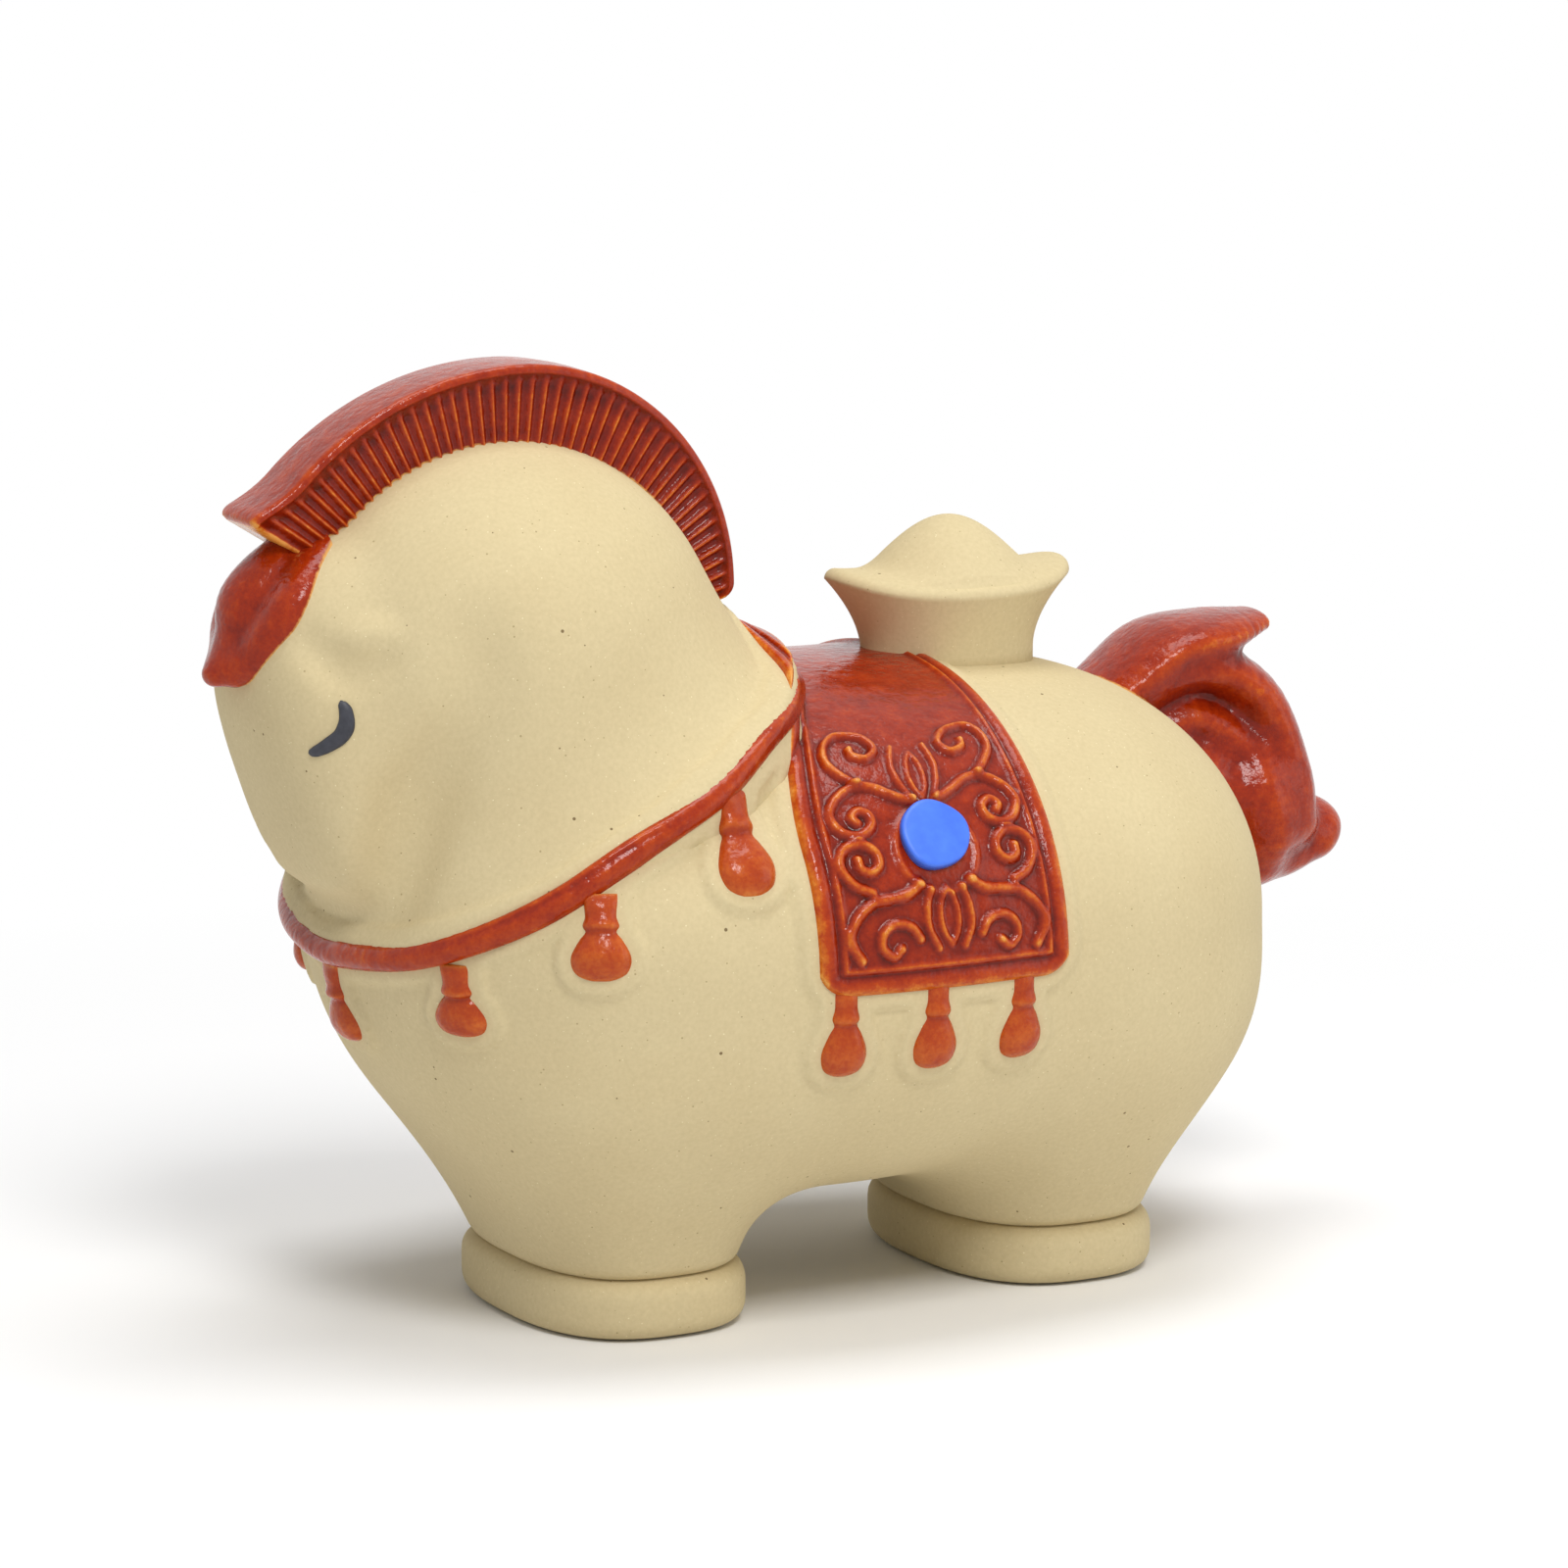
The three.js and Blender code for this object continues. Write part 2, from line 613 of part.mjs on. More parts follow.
function ingot(grow = 0) {
	const x = barrel.x + INGOT_BACKSET;
	const base = backZ + JOINT;
	const rimZ = base + INGOT_HEIGHT;
	const points = 28;
	const oval = (length, width, height) => Array.from({ length: points }, (_, i) => {
		const round = 2 * Math.PI * i / points;
		const px = x + (length / 2 + grow) * Math.cos(round);
		const py = (width / 2 + grow) * Math.sin(round);
		return vec(px, py, height(px, py, Math.abs(Math.cos(round))));
	});
	const onBack = (px, py) => march(bodyForm, vec(px, py, rimZ), DOWN, JOINT - grow).z;
	const rim = (px, py, end) => rimZ - INGOT_SHEER * (1 - end ** 3) + grow;
	const trough = rimZ - INGOT_SHEER - INGOT_TROUGH;
	const sections = [
		oval(INGOT_BASE_LENGTH / 2, INGOT_BASE_WIDTH / 2, onBack),
		oval(INGOT_BASE_LENGTH, INGOT_BASE_WIDTH, onBack),
	];
	const steps = 4;
	for (let i = 1; i <= steps; i++) {
		const up = i / steps;
		const length = lerp(INGOT_BASE_LENGTH, INGOT_SPAN, up ** INGOT_FLARE);
		const width = lerp(INGOT_BASE_WIDTH, INGOT_BEAM, up ** INGOT_FLARE);
		sections.push(oval(length, width, (px, py, end) => lerp(base, rim(px, py, end), up)));
	}
	const lip = (px, py, end) => rim(px, py, end) - INGOT_RIM * end / 2;
	sections.push(oval(INGOT_SPAN - 4 * INGOT_RIM, INGOT_BEAM - 2 * INGOT_RIM, lip));
	const last = 75;
	for (let round = 0; round <= last; round += last / 3) {
		const narrow = Math.cos(degToRad(round));
		const up = Math.sin(degToRad(round)) / Math.sin(degToRad(last));
		const z = lerp(trough, rimZ + INGOT_DOME_RISE, up);
		sections.push(oval(INGOT_DOME_LENGTH * narrow, INGOT_DOME_WIDTH * narrow, () => z));
	}
	return loft(sections);
}

// The seam of the neck: where the neck's skin meets the body's, at an angle round the neck
function seamPoint(angle) {
	const turn = degToRad(angle);
	const forward = vec(-Math.cos(degToRad(NECK_TILT)), 0, -Math.sin(degToRad(NECK_TILT)));
	const out = forward.multiplyScalar(Math.cos(turn)).add(vec(0, Math.sin(turn), 0));
	const down = neckAxis.clone().negate();
	const over = neck.clone().addScaledVector(neckAxis, NECK_LENGTH);
	const onBody = (distance) => march(bodyForm, over.clone().addScaledVector(out, distance), down);
	let near = 0;
	let far = NECK_LENGTH;
	for (let i = 0; i < 24; i++) {
		const middle = (near + far) / 2;
		const within = headForm(onBody(middle)) < 0;
		near = within ? middle : near;
		far = within ? far : middle;
	}
	return onBody(near);
}

function strap(grow = 0) {
	const steps = 48;
	const seam = Array.from({ length: steps }, (_, i) => seamPoint(360 * i / steps));
	const sections = seam.map((point, i) => {
		const tangent = seam[(i + 1) % steps].clone().sub(seam[(i + steps - 1) % steps]).normalize();
		const out = normalAt(bodyForm, point);
		const away = out.clone().cross(tangent).normalize();
		const outward = away.dot(normalAt(headForm, point)) > 0 ? away : away.negate();
		const place = drape(bodyForm, point, outward);
		const profile = [[-0.5, 0], [-0.5, 0.8], [0.5, 1], [0.9, 0.7], [1, 0], [0.4, 0]];
		return profile.map(([w, h]) => {
			const spread = w * STRAP_WIDTH + (w > 0.5 ? grow : 0);
			return place(spread, 0, h * STRAP_RELIEF + (h > 0 ? grow : -grow));
		});
	});
	sections.push(sections[0]);
	return trim(solid(new LoftGeometry(sections)).subtract(headSeat));
}

// Runs round the barrel: x along the horse, and the angle from the top of the back down to a flank
function onFlank(x, angle, height) {
	const turn = degToRad(angle);
	const skin = march(bodyForm, vec(x, 0, barrel.z), vec(0, Math.sin(turn), Math.cos(turn)), JOINT);
	return skin.addScaledVector(normalAt(bodyForm, skin), height);
}

const clothFront = neck.x + CLOTH_SETBACK;
const clothArc = 180 / Math.PI / (BARREL_WIDTH / 2);

// On the cloth: row runs back from its front edge, and line down from the middle of the back
function onCloth(row, line, height) {
	const angle = line * clothArc;
	const high = 1 - smoothstep(Math.abs(angle), CLOTH_SWEEP_TOP, CLOTH_SWEEP_FOOT);
	const sweep = CLOTH_SWEEP * high * (1 - row / CLOTH_LENGTH);
	return onFlank(clothFront + row + sweep, angle, height);
}

// A raised line of the stamped pattern, rooted halfway down into the cloth
function ridge(path, mirror, side) {
	const cell = CLOTH_LENGTH / SCROLL_GRID;
	const knots = path.map(([x, y]) => new THREE.Vector2(x, y).multiplyScalar(cell));
	const curve = new THREE.SplineCurve(knots);
	const stations = 2 * (path.length - 1);
	const root = CLOTH_THICKNESS / 2;
	const top = CLOTH_THICKNESS + SCROLL_RELIEF;
	const profile = [[-1, root], [-0.5, top], [0.5, top], [1, root]];
	const sections = [];
	for (let i = 0; i <= stations; i++) {
		const at = curve.getPoint(i / stations);
		const tangent = curve.getTangent(i / stations).multiplyScalar(SCROLL_WIDTH / 2);
		sections.push(profile.map(([w, height]) => {
			const row = CLOTH_LENGTH / 2 + mirror * (at.x - w * tangent.y);
			const line = GEM_ANGLE / clothArc - at.y - w * tangent.x;
			return onCloth(row, side * line, height);
		}));
	}
	return loft(sections);
}

// Border lines lie close together, and the field between them is evenly divided
function clothLines(length, cells) {
	const border = [0, CLOTH_BORDER_SLOPE, CLOTH_BORDER - CLOTH_BORDER_SLOPE, CLOTH_BORDER];
	const field = length - 2 * CLOTH_BORDER;
	const inner = Array.from({ length: cells - 1 }, (_, i) => CLOTH_BORDER + field * (i + 1) / cells);
	return [...border, ...inner, ...border.map((line) => length - line).reverse()];
}

function cloth() {
	const reach = CLOTH_REACH / clothArc;
	const lines = clothLines(2 * reach, 12);
	const rows = clothLines(CLOTH_LENGTH, 5);
	const onBorder = (line, length) => {
		const inset = Math.min(line, length - line);
		return inset > 0 && inset < 0.99 * CLOTH_BORDER;
	};
	const sections = rows.map((row) => {
		const edge = Math.min(row, CLOTH_LENGTH - row);
		const inset = Math.max(CLOTH_CORNER - edge, 0);
		const drop = CLOTH_CORNER - Math.sqrt(CLOTH_CORNER ** 2 - inset ** 2);
		const place = (line, height) => onCloth(row, (line - reach) * (1 - drop / reach), height);
		const top = lines.map((line) => {
			const raised = onBorder(row, CLOTH_LENGTH) || onBorder(line, 2 * reach);
			return place(line, CLOTH_THICKNESS + (raised ? CLOTH_BORDER_RELIEF : 0));
		});
		const under = lines.map((line) => place(line, 0)).reverse();
		return [...top, ...under];
	});
	const ridges = [-1, 1].flatMap((side) => (
		[-1, 1].flatMap((mirror) => SCROLLS.map((path) => ridge(path, mirror, side)))
	));
	return wasm.Manifold.union([loft(sections, 'line'), ...ridges]);
}

function gem(side) {
	const radius = GEM_DIAMETER / 2;
	const profile = [[0, 0], [1, 0], [1, 0.5], [0.75, 0.9], [0, 1]];
	const points = profile.map(([r, z]) => new THREE.Vector2(r * radius, z * GEM_RELIEF));
	const geometry = new THREE.LatheGeometry(points, 20);
	const seat = onFlank(clothFront + CLOTH_LENGTH / 2, side * GEM_ANGLE, CLOTH_THICKNESS + JOINT);
	const out = normalAt(bodyForm, seat);
	geometry.applyQuaternion(new THREE.Quaternion().setFromUnitVectors(vec(0, 1, 0), out));
	geometry.translate(seat.x, seat.y, seat.z);
	return solid(geometry);
}

// A tassel hangs from its anchor: stem, knot, waist and a full brush
function tassel(anchor, length, width) {
	const place = drape(bodyForm, anchor);
	const stem = [[0, 0.42, 0.6], [0.22, 0.4, 0.6]];
	const knot = [[0.34, 0.58, 0.85], [0.46, 0.42, 0.65]];
	const brush = [[0.72, 0.95, 1], [0.92, 0.9, 0.9], [1, 0.55, 0.4]];
	const profile = [...stem, ...knot, ...brush];
	return loft(profile.map(([s, w, h]) => pad(place, s * length, w * width / 2, h * TASSEL_RELIEF)));
}

function mesh(name, shape, finish) {
	const { vertProperties, triVerts } = shape.getMesh();
	const geometry = new THREE.BufferGeometry();
	geometry.setAttribute('position', new THREE.BufferAttribute(new Float32Array(vertProperties), 3));
	geometry.setIndex(new THREE.BufferAttribute(new Uint32Array(triVerts), 1));
	geometry.computeVertexNormals();
	const result = new THREE.Mesh(geometry, new THREE.MeshStandardMaterial(finish));
	result.name = name;
	return result;
}

const horse = new THREE.Group();
const sides = [['left', -1], ['right', 1]];

const [leftHalf, rightHalf] = bodyHalves();
horse.add(mesh('body_left_half', leftHalf, clay));
horse.add(mesh('body_right_half', rightHalf, clay));
horse.add(mesh('front_hooves', hoofPair(frontLegX), clay));
horse.add(mesh('rear_hooves', hoofPair(rearLegX), clay));
horse.add(mesh('head_and_neck', headAndNeck(), clay));
horse.add(mesh('mane_crest', mane(), glaze));
horse.add(mesh('forelock', forelock(), glaze));
horse.add(mesh('tail', tail(), glaze));
horse.add(mesh('gold_ingot', ingot(), clay));
horse.add(mesh('collar_strap', strap(), glaze));

const strapSeat = strap(JOINT);
const saddleCloth = trim(cloth().subtract(headSeat).subtract(strapSeat).subtract(ingot(JOINT)));
horse.add(mesh('saddle_cloth', saddleCloth, glaze));

for (const [name, side] of sides) {
	horse.add(mesh(`${name}_ear`, ear(side), clay));
	horse.add(mesh(`${name}_eye`, eye(side), blackSlip));
	horse.add(mesh(`${name}_saddle_gem`, gem(side), blueGlaze));
	for (const [i, place] of ['front', 'middle', 'rear'].entries()) {
		const x = clothFront + CLOTH_LENGTH / 2 - SADDLE_TASSEL_FORWARD + (i - 1) * SADDLE_TASSEL_SPACING;
		const anchor = onFlank(x, side * (CLOTH_REACH + JOINT * clothArc), 0);
		const hanging = tassel(anchor, SADDLE_TASSEL_LENGTH, SADDLE_TASSEL_WIDTH);
		horse.add(mesh(`${name}_saddle_tassel_${place}`, hanging, glaze));
	}
	for (const [i, angle] of COLLAR_TASSELS.entries()) {
		if (angle === 0 && side > 0) continue;
		const label = angle === 0 ? 'collar_tassel_centre' : `${name}_collar_tassel_${i}`;
		const hanging = tassel(seamPoint(side * angle), COLLAR_TASSEL_LENGTH, COLLAR_TASSEL_WIDTH);
		horse.add(mesh(label, trim(hanging.subtract(strapSeat).subtract(headSeat)), glaze));
	}
}

// The origin is on the ground, below the middle of the whole figure
const extent = new THREE.Box3().setFromObject(horse);
horse.position.x = -(extent.min.x + extent.max.x) / 2;
horse.position.y = -(extent.min.y + extent.max.y) / 2;

const teaPet = new THREE.Group();
teaPet.add(horse);

export default teaPet;
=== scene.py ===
import math

import bpy
import numpy as np
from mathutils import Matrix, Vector
from mathutils.kdtree import KDTree


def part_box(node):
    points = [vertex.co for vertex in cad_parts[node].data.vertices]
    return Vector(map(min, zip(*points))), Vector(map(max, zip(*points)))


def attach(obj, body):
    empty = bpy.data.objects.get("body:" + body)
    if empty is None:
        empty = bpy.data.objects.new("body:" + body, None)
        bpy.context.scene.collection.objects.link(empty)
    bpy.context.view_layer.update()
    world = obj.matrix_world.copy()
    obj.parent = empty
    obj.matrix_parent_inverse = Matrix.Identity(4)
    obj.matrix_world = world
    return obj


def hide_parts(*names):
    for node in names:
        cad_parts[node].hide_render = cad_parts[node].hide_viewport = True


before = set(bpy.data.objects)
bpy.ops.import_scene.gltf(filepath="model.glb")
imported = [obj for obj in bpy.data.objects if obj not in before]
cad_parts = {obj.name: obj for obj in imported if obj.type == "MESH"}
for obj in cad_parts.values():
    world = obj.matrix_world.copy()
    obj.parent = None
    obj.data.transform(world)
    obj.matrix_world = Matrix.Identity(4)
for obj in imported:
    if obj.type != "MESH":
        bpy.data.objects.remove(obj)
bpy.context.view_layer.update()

# Body shell
# The trunk of the tea pet is two press-moulded halves of sandy stoneware, luted together and
# smoothed over while leather hard, so that it shows as one fat barrel on two broad pairs of legs.
# It is left unglazed, and a vent in the belly lets the kiln's heat out of the hollow.

MM = 0.001
WALL = 4.5
VENT = 8.0
BARREL = (72.4, 52.0, 40.4)
CHEST = (34.6, 46.0, 26.0)
RUMP = (39.2, 47.0, 37.2)
BELLY_Z = 8.5
HOOF_HEIGHT = 4.8
HOOF_LENGTH = 18.4
HOOF_WIDTH = 27.2
HOOF_LIP = 0.8
HOOF_SQUARENESS = 2.6
LEG_RISE = 17.0
LEG_FLARE = 0.45
LEG_FILLET = 7.0
FRONT_LEAN = -0.25
REAR_LEAN = 0.12
BODY_FILLET = 6.0
ANKLE_FILLET = 1.0
ANKLE_SEAT = 0.2
ARCH_BACKSET = 1.85
BARREL_SQUARENESS = 2.15
RUMP_SQUARENESS = 2.1
CHEST_OUT = 2.2
CHEST_RISE = 3.3
RUMP_OUT = 1.5
CLAY_CELL = 0.42
BODY_LOW = (-42, -28.5, 3.5)
BODY_HIGH = (41, 28.5, 51)


def node_box(node):
    low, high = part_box(node)
    return np.array(low) / MM, np.array(high) / MM


def node_middle(node):
    low, high = node_box(node)
    return (low + high) / 2


def softer(a, b, radius):
    """The smaller of two values, with the corner between them rounded off."""
    near = np.maximum(radius - np.abs(a - b), 0) / radius
    return np.minimum(a, b) - near * near * radius / 4


def lump(centre, size, squareness=2.0, tilt=0.0):
    """A rounded lump of clay: a function of a place that is negative inside, in about millimetres."""
    cos, sin = math.cos(math.radians(tilt)), math.sin(math.radians(tilt))

    def form(x, y, z):
        dx, dz = x - centre[0], z - centre[2]
        total = slope = 0
        for way, length in zip((cos * dx + sin * dz, y - centre[1], cos * dz - sin * dx), size):
            share = np.abs(way) / (length / 2)
            total = total + share ** squareness
            slope = slope + (share ** (squareness - 1) / (length / 2)) ** 2
        k = np.maximum(total, 1e-9) ** (1 / squareness)
        return (k - 1) / np.maximum(np.sqrt(slope) / k ** (squareness - 1), 1e-3)

    return form


def blend(first, second, radius):
    return lambda x, y, z: softer(first(x, y, z), second(x, y, z), radius)


def hoof_round(a, b):
    """How far out a place lies in the hooves' round-cornered outline: 1 on its edge."""
    return np.maximum(a ** HOOF_SQUARENESS + b ** HOOF_SQUARENESS, 1e-9) ** (1 / HOOF_SQUARENESS)


def leg(foot_x, lean):
    """A pair of legs as one stump that flares up into the body and leans along the horse."""
    def form(x, y, z):
        rise = z - HOOF_HEIGHT
        swell = np.maximum(1 + LEG_FLARE * rise / LEG_RISE, 0.5)
        half_length, half_width = HOOF_LENGTH / 2 - HOOF_LIP, HOOF_WIDTH / 2 - HOOF_LIP
        a = np.abs(x - foot_x - lean * rise) / (half_length * swell)
        b = np.abs(y) / (half_width * swell)
        side = (hoof_round(a, b) - 1) * half_length * swell
        return -softer(-side, LEG_RISE - rise, LEG_FILLET)

    return form


front_foot = node_middle("front_hooves")
rear_foot = node_middle("rear_hooves")
belly_x = (front_foot[0] + rear_foot[0]) / 2
barrel = np.array([belly_x - ARCH_BACKSET, 0, BELLY_Z + BARREL[2] / 2])
back_z = BELLY_Z + BARREL[2]
chest_front = barrel[0] - BARREL[0] / 2
chest = (chest_front - CHEST_OUT + CHEST[0] / 2, 0, barrel[2] + CHEST_RISE)
rump = (barrel[0] + BARREL[0] / 2 + RUMP_OUT - RUMP[0] / 2, 0, barrel[2])
trunk = blend(lump(barrel, BARREL, BARREL_SQUARENESS), lump(chest, CHEST), BODY_FILLET)
trunk = blend(trunk, lump(rump, RUMP, RUMP_SQUARENESS), BODY_FILLET)
body = blend(trunk, leg(front_foot[0], FRONT_LEAN), LEG_FILLET)
body = blend(body, leg(rear_foot[0], REAR_LEAN), LEG_FILLET)


def shell(x, y, z):
    """The body cut off at the ankles, hollow, with the vent through its belly."""
    ankles = HOOF_HEIGHT - ANKLE_SEAT - z
    skin = -softer(-body(x, y, z), -ankles, ANKLE_FILLET)
    hollow = trunk(x, y, z) + WALL
    vent = np.maximum(np.hypot(x - belly_x, y) - VENT / 2, z - barrel[2])
    return np.maximum(skin, -np.minimum(hollow, vent))


def slope_at(form, points, step=0.02):
    """Which way a form's value rises fastest: straight out of the clay."""
    ways = np.eye(3) * step
    return np.stack([form(*(points + way).T) - form(*(points - way).T) for way in ways], 1) / (2 * step)


def settle(form, points, limit, rounds=3):
    """Pulls points onto the skin of a form."""
    for _ in range(rounds):
        slope = slope_at(form, points)
        steep = np.maximum((slope ** 2).sum(1), 0.05)
        move = np.clip(form(*points.T) / np.sqrt(steep), -limit, limit) / np.sqrt(steep)
        points = points - move[:, None] * slope
    return points


def cast(form, low, high, cell):
    """Wraps a form in quads, with one point in each cell that its skin passes through."""
    axes = [np.arange(a, b + cell, cell) for a, b in zip(low, high)]
    value = form(*np.meshgrid(*axes, indexing="ij"))
    inside = value < 0
    shape = [n - 1 for n in value.shape]
    corners = [(i, j, k) for i in (0, 1) for j in (0, 1) for k in (0, 1)]

    def corner(grid, c):
        return grid[tuple(slice(c[i], c[i] + shape[i]) for i in range(3))]

    filled = sum(corner(inside, c).astype(np.int8) for c in corners)
    cells = np.argwhere((filled > 0) & (filled < 8))
    number = np.full(shape, -1)
    number[tuple(cells.T)] = np.arange(len(cells))
    crossing = np.zeros((len(cells), 3))
    crossings = np.zeros(len(cells))
    for a in corners:
        for axis in (i for i in range(3) if a[i] == 0):
            way = np.eye(3)[axis]
            near = value[tuple((cells + a).T)]
            far = value[tuple((cells + a + way.astype(int)).T)]
            crossed = (near < 0) != (far < 0)
            share = np.where(crossed, near / np.where(crossed, near - far, 1), 0)
            crossing += crossed[:, None] * (np.array(a) + share[:, None] * way)
            crossings += crossed
    points = np.array(low) + (cells + crossing / crossings[:, None]) * cell
    quads = []
    for axis in range(3):
        u, v = (axis + 1) % 3, (axis + 2) % 3
        change = np.diff(inside.astype(np.int8), axis=axis)
        edges = np.argwhere(change != 0)
        within = (edges[:, u] > 0) & (edges[:, v] > 0) & (edges[:, u] < shape[u]) & (edges[:, v] < shape[v])
        edges = edges[within]
        way = change[tuple(edges.T)]
        ring = []
        for du, dv in ((1, 1), (0, 1), (0, 0), (1, 0)):
            beside = edges.copy()
            beside[:, u] -= du
            beside[:, v] -= dv
            ring.append(number[tuple(beside.T)])
        quad = np.stack(ring, 1)
        quad[way > 0] = quad[way > 0][:, ::-1]
        quads.append(quad)
    return settle(form, points, cell / 2), np.concatenate(quads)


def put(name, data):
    made = bpy.data.objects.new(name, data)
    bpy.context.scene.collection.objects.link(made)
    return made


def piece(name, points, faces, material):
    """Makes a piece from places in millimetres, riding on the one rigid body."""
    mesh = bpy.data.meshes.new(name)
    mesh.from_pydata((np.asarray(points) * MM).tolist(), [], [list(face) for face in faces])
    mesh.shade_smooth()
    mesh.materials.append(material)
    made = put(name, mesh)
    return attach(made, "root")


def linear(text):
    """A colour written as sRGB hex, turned linear."""
    parts = [int(text[i:i + 2], 16) / 255 for i in (0, 2, 4)]
    return [c / 12.92 if c <= 0.04045 else ((c + 0.055) / 1.055) ** 2.4 for c in parts] + [1.0]


def feed(tree, target, value):
    """Gives an input a number, a colour, an output, or the first output of a node."""
    if isinstance(value, bpy.types.Node):
        value = value.outputs[0]
    if isinstance(value, bpy.types.NodeSocket):
        tree.links.new(value, target)
    else:
        target.default_value = value


def node(tree, kind, inputs=None, **settings):
    """Adds a node, with what feeds its inputs and with its settings."""
    made = tree.nodes.new(kind)
    for key, value in settings.items():
        setattr(made, key, value)
    for key, value in (inputs or {}).items():
        feed(tree, made.inputs[key], value)
    return made


def empty_material(name):
    """A new material, its tree and the place on the object that its patterns read."""
    material = bpy.data.materials.new(name)
    material.use_nodes = True
    tree = material.node_tree
    tree.nodes.clear()
    return material, tree, node(tree, "ShaderNodeTexCoord").outputs["Object"]


def per_mm(size):
    """The scale of a pattern whose cells are that many millimetres across."""
    return 1 / (size * MM)


def mix(tree, share, first, second, way="MIX"):
    made = node(tree, "ShaderNodeMix", data_type="RGBA", blend_type=way)
    shown = [socket for socket in made.inputs if socket.enabled]
    for target, value in zip(shown, (share, first, second)):
        feed(tree, target, value)
    return next(socket for socket in made.outputs if socket.enabled)


def coat(tree, colour, bumps, shine):
    """Ends a material. The bumps are a pattern, its strength and its depth in millimetres."""
    height, strength, depth = bumps
    bump = node(tree, "ShaderNodeBump", {"Height": height, "Strength": strength, "Distance": depth * MM})
    shader = node(tree, "ShaderNodeBsdfPrincipled", {"Base Color": colour, "Normal": bump, **shine})
    node(tree, "ShaderNodeOutputMaterial", {"Surface": shader})


def specks(tree, place, spacing, largest):
    """Scattered grains: one in each cell, each with a size of its own. Gives 1 on a grain."""
    grains = node(tree, "ShaderNodeTexVoronoi", {"Vector": place, "Scale": per_mm(spacing)})
    split = node(tree, "ShaderNodeSeparateColor", {0: grains.outputs["Color"]})
    size = node(tree, "ShaderNodeMath", {0: split, 1: largest / spacing}, operation="MULTIPLY")
    on_grain = {0: grains.outputs["Distance"], 1: size}
    return node(tree, "ShaderNodeMath", on_grain, operation="LESS_THAN")


def stoneware():
    """Unglazed sandy stoneware: dry and matt, with fine dark iron grains and pale sand in the clay.

    The real sand is about 0.2 mm across. Its pattern is drawn at 0.35 mm, so that it shows.
    """
    material, tree, place = empty_material("sandy_stoneware")
    cloud = node(tree, "ShaderNodeTexNoise", {"Vector": place, "Scale": per_mm(9), "Detail": 3.0})
    grain = node(tree, "ShaderNodeTexNoise", {"Vector": place, "Scale": per_mm(0.35), "Detail": 2.0})
    colour = mix(tree, cloud, linear("d2c096"), linear("dbcba2"))
    tone = mix(tree, grain, linear("dad6ca"), linear("ffffff"))
    colour = mix(tree, 0.55, colour, mix(tree, 1.0, colour, tone, "MULTIPLY"))
    colour = mix(tree, specks(tree, place, 0.5, 0.06), colour, linear("e4d8b2"))
    colour = mix(tree, specks(tree, place, 0.8, 0.08), colour, linear("ac9970"))
    colour = mix(tree, specks(tree, place, 2.3, 0.14), colour, linear("7c6848"))
    coat(tree, colour, (grain, 0.35, 0.05), {"Roughness": 0.82, "IOR": 1.45, "Specular IOR Level": 0.3})
    return material


clay = stoneware()
body_points, body_faces = cast(shell, BODY_LOW, BODY_HIGH, CLAY_CELL)
body_shell = piece("clay_body", body_points, body_faces, clay)
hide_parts("body_left_half", "body_right_half")

# Hooves
# Each pair of feet is one flat block of the same clay, cut with a round-cornered cutter and luted
# under the legs. Its edges are rounded with a wet sponge, which leaves a soft groove at the ankle.

HOOF_EDGE = 0.85
HOOF_CELL = 0.45
HOOF_ROOM = 0.7


def hoof(centre):
    """A flat block with a round-cornered outline and rounded edges, standing on the ground."""
    def form(x, y, z):
        a = np.abs(x - centre[0]) / (HOOF_LENGTH / 2)
        b = np.abs(y - centre[1]) / (HOOF_WIDTH / 2)
        side = (hoof_round(a, b) - 1) * HOOF_LENGTH / 2
        flat = np.abs(z - HOOF_HEIGHT / 2) - HOOF_HEIGHT / 2
        return -softer(-side, -flat, 2 * HOOF_EDGE)

    return form


for name, centre in (("front", front_foot), ("rear", rear_foot)):
    low, high = node_box(f"{name}_hooves")
    points, faces = cast(hoof(centre), low - HOOF_ROOM, high + HOOF_ROOM, HOOF_CELL)
    points[:, 2] = np.maximum(points[:, 2], 0)
    block = piece(f"{name}_hoof_block", points, faces, clay)
    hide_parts(f"{name}_hooves")

# Head and neck
# The head is a pinched hollow ball with a skirt for a neck. The muzzle is drawn out of it, and finger
# and thumb press the valley behind it, the undercut below it and the dents round each ear.

SKULL = 36.4
SKULL_WIDTH = 33.6
NECK = (40.6, 41.2, 14.4)
NECK_TILT = 25
MUZZLE = (18.4, 21.6, 24.0)
MUZZLE_TILT = 19
BROW = (11.0, 16.0, 14.0)
NECK_LIP = (NECK[0] + 1.2, NECK[1] - 0.4, 2.6)
NECK_LIP_TILT = 29
NECK_SQUARENESS = 2.2
MUZZLE_SQUARENESS = 3.1
NECK_FILLET = 8
LIP_FILLET = 1.5
BROW_FILLET = 5
MUZZLE_FILLET = 2
# Where each part of the head is, along the horse and up, from what it is joined to
SKULL_AT = (10.6, 1.4)
NECK_AT = (15.6, -9.6)
MUZZLE_AT = (-10.0, -4.7)
BROW_AT = (-14.3, 4.7)
NECK_LIP_AT = (-0.9, 1.9)

head = np.array([chest_front + SKULL_AT[0], 0, back_z + SKULL_AT[1]])
neck = (chest_front + NECK_AT[0], 0, back_z + NECK_AT[1])
muzzle = (head[0] + MUZZLE_AT[0], 0, head[2] + MUZZLE_AT[1])
brow = (head[0] + BROW_AT[0], 0, head[2] + BROW_AT[1])
neck_lip = (neck[0] + NECK_LIP_AT[0], 0, neck[2] + NECK_LIP_AT[1])

